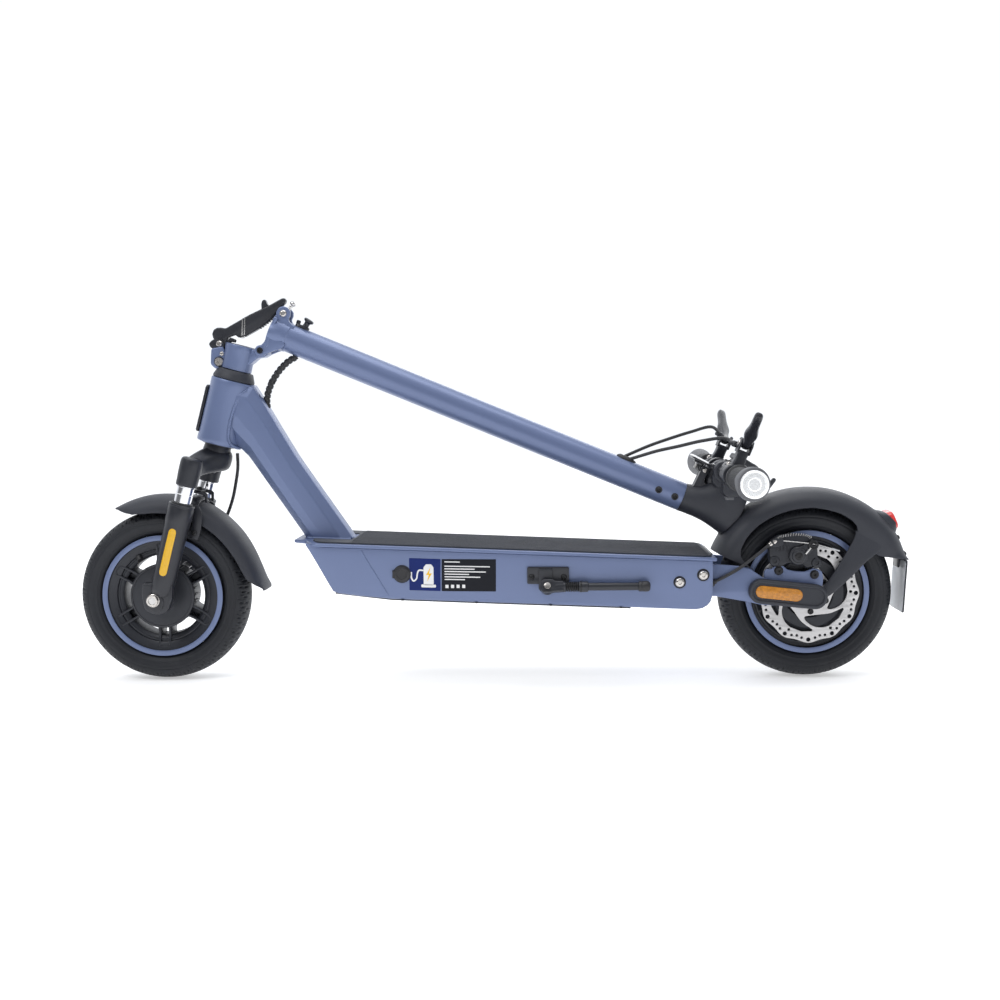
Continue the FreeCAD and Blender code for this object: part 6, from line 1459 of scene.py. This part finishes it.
# ==== handlebar and what is on it ====================================================================================
lathe("handlebar_tube", [(0, -281), (10.2, -281), (11, -280)] + [(11, y) for y in range(-240, 241, 40)] + [(11, 280), (10.2, 281), (0, 281)], BAR, Y, castmetal, "stem", n=64, replaces=("handlebar",))
for k, nm in ((-1, "left"), (1, "right")):
    gp = [(11.1, 165), (17.4, 165), (18.2, 165.8), (18.2, 169.6), (17.4, 170.6), (15.2, 171.6)]
    y = 172.5
    while y < 268:
        bulge = 0.5 * sin(pi * (y - 165) / 115)
        gp += [(15.2 + bulge, y), (15.45 + bulge, y + 0.6), (15.45 + bulge, y + 2.0), (15.2 + bulge, y + 2.5), (14.6 + bulge, y + 2.7), (14.6 + bulge, y + 3.3)]
        y += 3.5
    gp += [(15.2, 270), (16.2, 272.5), (17.8, 276), (18.6, 279.4), (11.1, 279.4)]
    lathe("grip_" + nm, gp, BAR, Y * k, grip_m, "stem", n=88, closed=True, replaces=("grips",) if k < 0 else ())
    # palm rest that grows out of the grip towards its end
    rings = []
    for y_, dn, up, wd in ((222, 12.0, 12.0, 12.0), (236, 17.5, 15.2, 15.6), (250, 21.0, 18.0, 17.2), (266, 22.4, 20.6, 18.8), (280, 22.6, 21.6, 19.6), (290, 22.2, 21.8, 19.8), (294.5, 21.6, 21.4, 19.4), (295.8, 20.4, 20.3, 18.4), (296.0, 18.9, 18.9, 17.6)):
        ring = []
        for i in range(64):
            a = 2 * pi * i / 64
            c_, s_ = cos(a), sin(a)
            rr_ = (dn if s_ < 0 else up)
            px_ = wd * c_
            pz_ = rr_ * s_
            skew = -0.30 * (dn - 17) * max(0.0, -s_) ** 2 * (1 if dn > 17 else 0)
            ring.append(Vector((BAR.x + px_ + skew + (0.6 if c_ > 0 else -0.8) * abs(c_), y_ * k, BAR.z + pz_)))
        rings.append(ring)
    loft("palm_rest_" + nm, rings, end_grey, "stem", smooth=60)
    lathe("end_light_bezel_" + nm, [(13.0, 294.5), (17.4, 294.5), (18.0, 295.2), (18.0, 297.2), (17.5, 297.9), (16.7, 298.1), (16.3, 297.6), (16.2, 296.0), (13.0, 295.4)], BAR, Y * k, silver_painted_glow, "stem", n=88, closed=True, replaces=("bar_end_lights",) if k < 0 else ())
    lathe("end_light_dish_" + nm, [(16.3, 296.6), (14.6, 296.0), (13.6, 295.4), (10.5, 295.2), (0, 295.2)], BAR, Y * k, white_lens_painted_glow, "stem", n=80)
    lp_ = [(0, 299.4), (4.6, 299.3), (5.0, 299.05), (8.6, 298.95), (9.0, 299.3), (9.8, 299.3), (10.3, 298.9), (13.2, 298.6), (13.6, 298.9), (14.6, 298.8), (15.2, 298.3), (16.1, 297.6), (16.1, 296.9), (13, 297.4), (8, 297.8), (0, 297.9)]
    lathe("end_light_lens_" + nm, lp_, BAR, Y * k, clear, "stem", n=88)
    lathe("end_light_leds_" + nm, [(7.2, 295.1), (8.6, 295.1), (8.8, 295.6), (8.6, 296.1), (7.2, 296.1), (7.0, 295.6)], BAR, Y * k, silver_painted_glow, "stem", n=60, closed=True)

for k, nm in ((-1, "left"), (1, "right")):
    lathe("perch_clamp_" + nm, [(11.0, 96), (14.6, 96), (15.6, 96.8), (15.9, 98.4), (15.9, 117.6), (15.5, 119.3), (14.6, 120), (11.0, 120)], BAR, Y * k, castmetal, "stem", n=64, closed=True, replaces=("lever_perches",) if k < 0 else ())
    # body that rises from the clamp to the two ears
    rings = []
    for n_, a_, b0, b1 in ((8, 9.5, 97, 118), (16, 8.8, 97, 118), (22, 7.8, 95, 117), (28, 7.4, 92, 116), (33, 7.6, 90.5, 117), (36.4, 8.0, 90, 118), (37.0, 7.6, 90.5, 117.5)):
        rings.append([BF(p, n_, ((b0 + b1) / 2 + q) * k) for p, q in rrect(2 * a_, b1 - b0, 3.0, 4)])
    loft("perch_body_" + nm, rings, castmetal, "stem", smooth=45)
    for s0, s1 in ((-9.4, -6.7), (6.7, 9.4)):
        ear = fillet([(90.5, 33), (90.5, 48), (94, 53.6), (104, 54.6), (113, 53), (118, 46), (118, 33)], [2, 5, 5, 5, 5, 5, 2], 5)
        plate("perch_ear_%s_%d" % (nm, int(s0 > 0)), [[(y * k, n_) for y, n_ in ear]], s0, s1, castmetal, "stem", bevel=0.8, O=BAR, U=Y, V=SN, Nn=SD)
    bolts("lever_pivot_" + nm, [(BF(9.3, 46, 104 * k), SD, 4.2, 2.2, 1.8), (BF(-9.3, 46, 104 * k), -SD, 4.2, 2.2, 1.8)], boltm, "stem")
    lathe("lever_pivot_rod_" + nm, [(0, -9.6), (2.5, -9.6), (2.5, 9.6), (0, 9.6)], BF(0, 46, 104 * k), SD, steel, "stem", n=20)
    bolts("perch_clamp_bolt_" + nm, [(BF(-12.2, 12.5, 108 * k), (-SD * 0.8 + SN * 0.6).normalized(), 3.2, 2.6, 1.6)], boltm, "stem")
    # lever blade, flared where the fingers rest
    st_ = [(98.5, 46.0, 7.6, 11.6, 0), (101, 45.6, 11.0, 12.2, 0), (106, 45.4, 13.0, 12.4, 0.1), (112, 46.6, 13.2, 12.4, 0.3), (120, 50.0, 12.6, 12.6, 0.42), (128, 54.2, 12.0, 14.4, 0.5), (135, 58.0, 11.6, 18.2, 0.52), (141, 61.2, 11.4, 19.6, 0.52), (147, 64.4, 11.6, 17.6, 0.52), (155, 68.6, 12.0, 14.2, 0.5),
           (164, 73.2, 12.2, 12.8, 0.5), (174, 78.6, 12.4, 12.6, 0.5), (182, 82.8, 12.4, 12.6, 0.5), (187, 85.4, 11.4, 11.8, 0.5), (190, 87.0, 8.4, 9.0, 0.5), (191.2, 87.6, 3.6, 4.4, 0.5)]
    rings = []
    for y_, n_, tk, wd, sl in st_:
        ang = math.atan(sl)
        ring = []
        for p, q in superell(wd / 2, tk / 2, 2.7, 32):
            ring.append(BF(p - 0.28 * max(0.0, n_ - 46.0), n_ + q * cos(ang) * 1.0, (y_ - q * sin(ang)) * k))
        rings.append(ring)
    loft("brake_lever_blade_" + nm, rings, blackmetal, nm + "_lever", sub=1, smooth=60, replaces=(nm + "_brake_lever",))
    lathe("cable_adjuster_" + nm, [(0, 0), (3.0, 0), (3.0, 3.4), (4.3, 3.8), (4.5, 4.6), (4.5, 8.4), (4.2, 9.2), (3.2, 9.6), (3.0, 14.0), (0, 14.2)], BF(-7.6 + 0.5, 42 if k < 0 else 50, 92.5 * k), (-SD * 0.85 - Y * 0.52 * k).normalized(), blackmetal, "stem", n=32)

# left switch pod with its slot and the little tab beneath
pod = fillet([(821.6, 276), (821.6, 314), (826, 319.6), (842.5, 319.6), (844.6, 316), (844.6, 271.6), (841, 269.8), (826.6, 270.2)], [5, 6, 5, 3, 3, 3, 4, 4], 6)
plate("left_pod", [pod], -77.8, -54.2, smooth_plastic, "stem", bevel=2.4, res=3, replaces=("switch_pods",))
plate("left_pod_seam", [[(822.2, 304.2), (822.2, 304.9), (838.4, 304.9), (838.4, 304.2)]], -78.15, -77.6, rubber, "stem", bevel=0.1)
lathe("left_pod_screw", [(0, 0.6), (1.0, 0.6), (1.15, 0), (1.7, 0), (1.9, 0.3), (1.9, 0.9), (0, 0.9)], (829.4, -77.3, 299.4), -Y, blackbolt, "stem", n=24)
plate("left_pod_face", [fillet([(823.4, 273), (823.4, 302.6), (842.6, 302.6), (842.6, 273)], 2.2, 5)], -78.3, -77.4, plastic, "stem", bevel=0.4)
plate("left_pod_tab", [fillet([(826.4, 265.8), (824.8, 270.8), (838.6, 270.8), (837.2, 265.8)], 1.2, 4)], -71, -61, end_grey, "stem", bevel=0.9)
lathe("left_pod_ring", [(11.0, 78), (14.4, 78), (15.0, 78.6), (15.0, 91), (14.4, 92), (11.0, 92)], BAR, -Y, smooth_plastic, "stem", n=56, closed=True)
plate("signal_rocker", [fillet([(841.0, 289.6), (845.6, 289.6), (847.6, 287.6), (846.9, 284.8), (847.6, 282.4), (845.6, 280.4), (841.0, 280.4)], [0.3, 1, 1, 2, 1, 1, 0.3], 4)], -70.8, -61.2, rubber, "signal_button", bevel=0.6, replaces=("signal_button",))
lathe("right_pod_ring", [(11.0, 50), (16.6, 50), (17.4, 50.8), (17.5, 52), (17.5, 62.4), (17.0, 63.6), (16.4, 64), (11.0, 64)], BAR, Y, smooth_plastic, "stem", n=64, closed=True)
plate("right_pod_cable_boss", [fillet([(815.5, 306), (815.5, 313.5), (824, 318), (829, 313), (822, 305)], 2, 4)], 51.5, 62.5, smooth_plastic, "stem", bevel=1.2)
lathe("throttle_ring", [(11.4, 64.4), (15.8, 64.4), (16.5, 65.2), (16.5, 73.0), (15.8, 73.9), (11.4, 73.9)], BAR, Y, smooth_plastic, "throttle", n=64, closed=True, replaces=("throttle_lever",))
thp = fillet([(BAR.x - 13.4, BAR.z - 4), (BAR.x - 4, BAR.z - 13.4), (BAR.x - 13, BAR.z - 23), (BAR.x - 23.6, BAR.z - 36), (BAR.x - 29, BAR.z - 37), (BAR.x - 32.4, BAR.z - 32.4), (BAR.x - 25, BAR.z - 20)], [3, 3, 14, 3, 3, 3, 12], 6)
plate("throttle_paddle", [thp], 64.6, 73.8, smooth_plastic, "throttle", bevel=2.0, res=3)
v, f = merge([sweep_data([Vector((BAR.x - 21.0 - 1.8 * i, 65.8, BAR.z - 20.6 - 3.2 * i)) + Vector((-1.6, 0, 1.4)), Vector((BAR.x - 21.0 - 1.8 * i, 72.8, BAR.z - 20.6 - 3.2 * i)) + Vector((-1.6, 0, 1.4))], rrect(1.1, 1.1, 0.4, 2), up=Z) for i in range(4)])
mesh("throttle_ridges", v, f, rubber, "throttle")

# display
dd_ = (Vector((882, 0, 309)) - Vector((848, 0, 331))).normalized()
dn_ = Vector((-dd_.z, 0, dd_.x))
if dn_.z < 0:
    dn_ = -dn_
dc = (Vector((843, 0, 323)) + Vector((848, 0, 331)) + Vector((882, 0, 309)) + Vector((877, 0, 301))) / 4
plate("display_case", [fillet([(-19.6, -29.6), (-19.6, 29.6), (19.6, 29.6), (19.6, -29.6)], 5, 6)], -4.4, 3.6, smooth_plastic, "stem", bevel=1.8, O=dc, U=dd_, V=Y, Nn=dn_, replaces=("display",), res=3)
plate("display_window", [fillet([(-17.4, -27), (-17.4, 27), (17.4, 27), (17.4, -27)], 3.4, 6)], 3.4, 4.3, glassm, "stem", bevel=0.4, O=dc, U=dd_, V=Y, Nn=dn_)
plate("display_foot", [fillet([(841, 305), (841.5, 318.5), (850, 324), (861, 316), (853, 303)], 3, 4)], -13.6, 13.6, smooth_plastic, "stem", bevel=1.2)
v, f = merge([lathe_data([(0, 4.2), (2.6, 4.2), (2.9, 4.5), (2.6, 5.0), (0, 5.1)], dc + dd_ * 13.0 + Y * y_, dn_, 28) for y_ in (-16, 0, 16)])
mesh("display_keys", v, f, rubber, "stem")

# bell with its thumb lever
lathe("bell_clamp", [(11.0, 140), (13.8, 140), (14.5, 140.8), (14.5, 149.2), (13.8, 150), (11.0, 150)], BAR, -Y, blackmetal, "stem", n=56, closed=True, replaces=("bell_body",))
bc_ = BF(14, 0, -149.5)
lathe("bell_dome", [(0, 23.6), (3.0, 23.5), (6.4, 22.4), (8.6, 20.2), (9.8, 17.0), (10.2, 13.0), (10.2, 6.0), (9.8, 4.6), (8.8, 4.2), (8.6, 5.4), (0, 5.4)], bc_ + SD * -1.0, SD, blackmetal, "stem", n=64)
plate("bell_foot", [fillet([(10, -8), (10, 8), (19.5, 9), (19.5, -9)], 1.5, 4)], -158.5, -140.5, blackmetal, "stem", bevel=1.0, O=(BAR.x, 0, BAR.z), U=SD, V=SN, Nn=Y)
bl = fillet([(38.6, -3.8), (38.8, 3.6), (41.6, 9), (45.0, 18.2), (48.6, 17.6), (49.2, 14.6), (46.2, 3), (45.6, -2.6), (42, -4.6)], [2, 2, 6, 1.8, 1.6, 2, 5, 2, 2], 5)
plate("bell_thumb_lever", [bl], -153.8, -145.2, blackmetal, "bell_lever", bevel=1.2, O=(BAR.x, 0, BAR.z), U=SD, V=SN, Nn=Y, replaces=("bell_lever",))

# brake cables from the tube to the two perches
upper_c = [SF(552, 21.1), Vector((699, 0, 331)), Vector((726, 0, 341.5)), Vector((757, 0, 351.2)), Vector((790, 0, 360.2)), Vector((823, 0, 366.8)), BF(-9.6, 50)]
lower_c = [SF(560, 21.1), Vector((707, 0, 326.3)), Vector((733, 0, 334.5)), Vector((763, 0, 341.6)), Vector((795, 0, 349.7)), Vector((825, 0, 353.8)), BF(-9.6, 40)]
for i, (pts, k) in enumerate(((upper_c, 1), (lower_c, -1))):
    m_ = len(pts)
    q = [Vector((p.x, k * (4 + 88 * (j / (m_ - 1.0)) ** 1.7), p.z)) for j, p in enumerate(pts)]
    v, f = sweep_data(smooth_path(q, 12), circle(2.45, 16), up=Z)
    mesh("brake_hose_" + ("right" if k > 0 else "left"), v, f, rubber, "stem", smooth=70, replaces=("lever_cables",) if i == 0 else ())


def blended(o):
    o.parent = None
    if "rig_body" in o:
        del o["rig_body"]
    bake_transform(o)


def loom_half(name, pts, rep=()):
    path = smooth_path(pts, 16)
    v1 = sweep_data(path, circle(4.0, 14), up=Y)
    # spiral wrap: a flat band wound round the core
    rings = []
    n = len(path)
    L_ = [0.0]
    for p, q in zip(path, path[1:]):
        L_.append(L_[-1] + (q - p).length)
    total = L_[-1]
    cnt = int(total / 7.4 * 22)
    for i in range(cnt + 1):
        s = total * i / cnt
        j = max(0, min(n - 2, int(np.searchsorted(L_, s)) - 1))
        t = (s - L_[j]) / max(1e-6, L_[j + 1] - L_[j])
        c = path[j].lerp(path[j + 1], t)
        tan = (path[j + 1] - path[j]).normalized()
        nn = tan.cross(Y).normalized()
        an = 2 * pi * s / 7.4
        e = nn * cos(an) + Y * sin(an)
        rings.append([c + tan * u + e * r for u, r in ((-2.5, 3.7), (-2.5, 4.6), (-1.9, 5.1), (1.9, 5.1), (2.5, 4.6), (2.5, 3.7))])
    v2 = loft_data(rings)
    v, f = merge([v1, v2])
    o = mesh(name, v, f, rubber, "steering", smooth=50, replaces=rep)
    blended(o)


LP_ = [Vector((204.2, 0, 479.0)), Vector((190.6, 0, 471.3)), Vector((177.0, 0, 457.9)), Vector((166.4, 0, 442.6)), Vector((159.8, 0, 426.2)), Vector((157.8, 0, 412.3)), Vector((158.6, 0, 403.0))]
loom_half("cable_loom_upper", [LP_[3], LP_[2], LP_[1], LP_[0]])
loom_half("cable_loom_lower", [LP_[6], LP_[5], LP_[4], LP_[3]], rep=("cable_loom",))
fc_ = [Vector(q) for q in ((103.5, 34, 335), (102, 40, 313), (97, 46, 290), (91, 49, 266), (83, 48, 243), (73, 44, 221), (60, 38, 201), (46, 32.5, 186))]
v, f = sweep_data(smooth_path(fc_, 10), circle(2.45, 14), up=W)
o = mesh("front_brake_hose", v, f, rubber, "steering", smooth=70, replaces=("front_brake_cable",))
blended(o)


# ==== light, floor and finish ===================================================================================
def area(name, loc, target, size, power, color=(1, 1, 1), sy=None):
    ld = bpy.data.lights.new(name, "AREA")
    ld.energy, ld.color = power, color
    ld.size = size
    if sy:
        ld.shape, ld.size_y = "RECTANGLE", sy
    o = bpy.data.objects.new(name, ld)
    bpy.context.scene.collection.objects.link(o)
    o.location = loc
    o.rotation_euler = (Vector(target) - Vector(loc)).to_track_quat("-Z", "Y").to_euler()
    return o


area("key", (-1.3, -1.5, 2.0), (-0.1, 0, 0.2), 1.1, 17, sy=0.8)
area("fill", (1.7, -2.1, 0.8), (0.1, 0, 0.2), 1.6, 3.5, sy=1.0)
area("top", (0.1, 0.1, 2.1), (0, 0, 0.2), 2.0, 15, sy=0.9)
area("rim", (0.7, 1.8, 1.3), (0, 0, 0.25), 1.6, 7, sy=0.8)
w = bpy.data.worlds.new("World")
bpy.context.scene.world = w
w.use_nodes = True
wt = w.node_tree
bgn = wt.nodes["Background"]
wc = wt.nodes.new("ShaderNodeTexCoord")
ws = wt.nodes.new("ShaderNodeSeparateXYZ")
wt.links.new(wc.outputs["Generated"], ws.inputs["Vector"])


def map_range(src, a, b, c, d):
    m = wt.nodes.new("ShaderNodeMapRange")
    m.interpolation_type = "SMOOTHSTEP"
    for i, x in enumerate((a, b, c, d)):
        m.inputs[i + 1].default_value = x
    wt.links.new(src, m.inputs[0])
    return m.outputs[0]


mx = wt.nodes.new("ShaderNodeMath")
mx.operation = "MAXIMUM"
wt.links.new(map_range(ws.outputs["Y"], -0.35, 0.35, 0.165, 1.09), mx.inputs[0])
wt.links.new(map_range(ws.outputs["Z"], 0.35, 0.85, 0.20, 0.85), mx.inputs[1])
bgn.inputs["Color"].default_value = (0.93, 0.955, 1.0, 1)
wt.links.new(mx.outputs[0], bgn.inputs["Strength"])
bpy.context.scene.view_settings.view_transform = "Standard"
bpy.ops.mesh.primitive_plane_add(size=1)
floor = bpy.context.object
floor.name = "floor"
floor.scale = (14, 14, 1)
floor.location = (0, 0, -0.0006)
fm = material("pale_floor", (0.90, 0.90, 0.90), 0.8, 0, vary=0.01, vscale=3, rvary=0.02, grain=0.05, gscale=80, spec=0.2, emission=((1, 1, 1), 0.42))
floor.data.materials.append(fm)
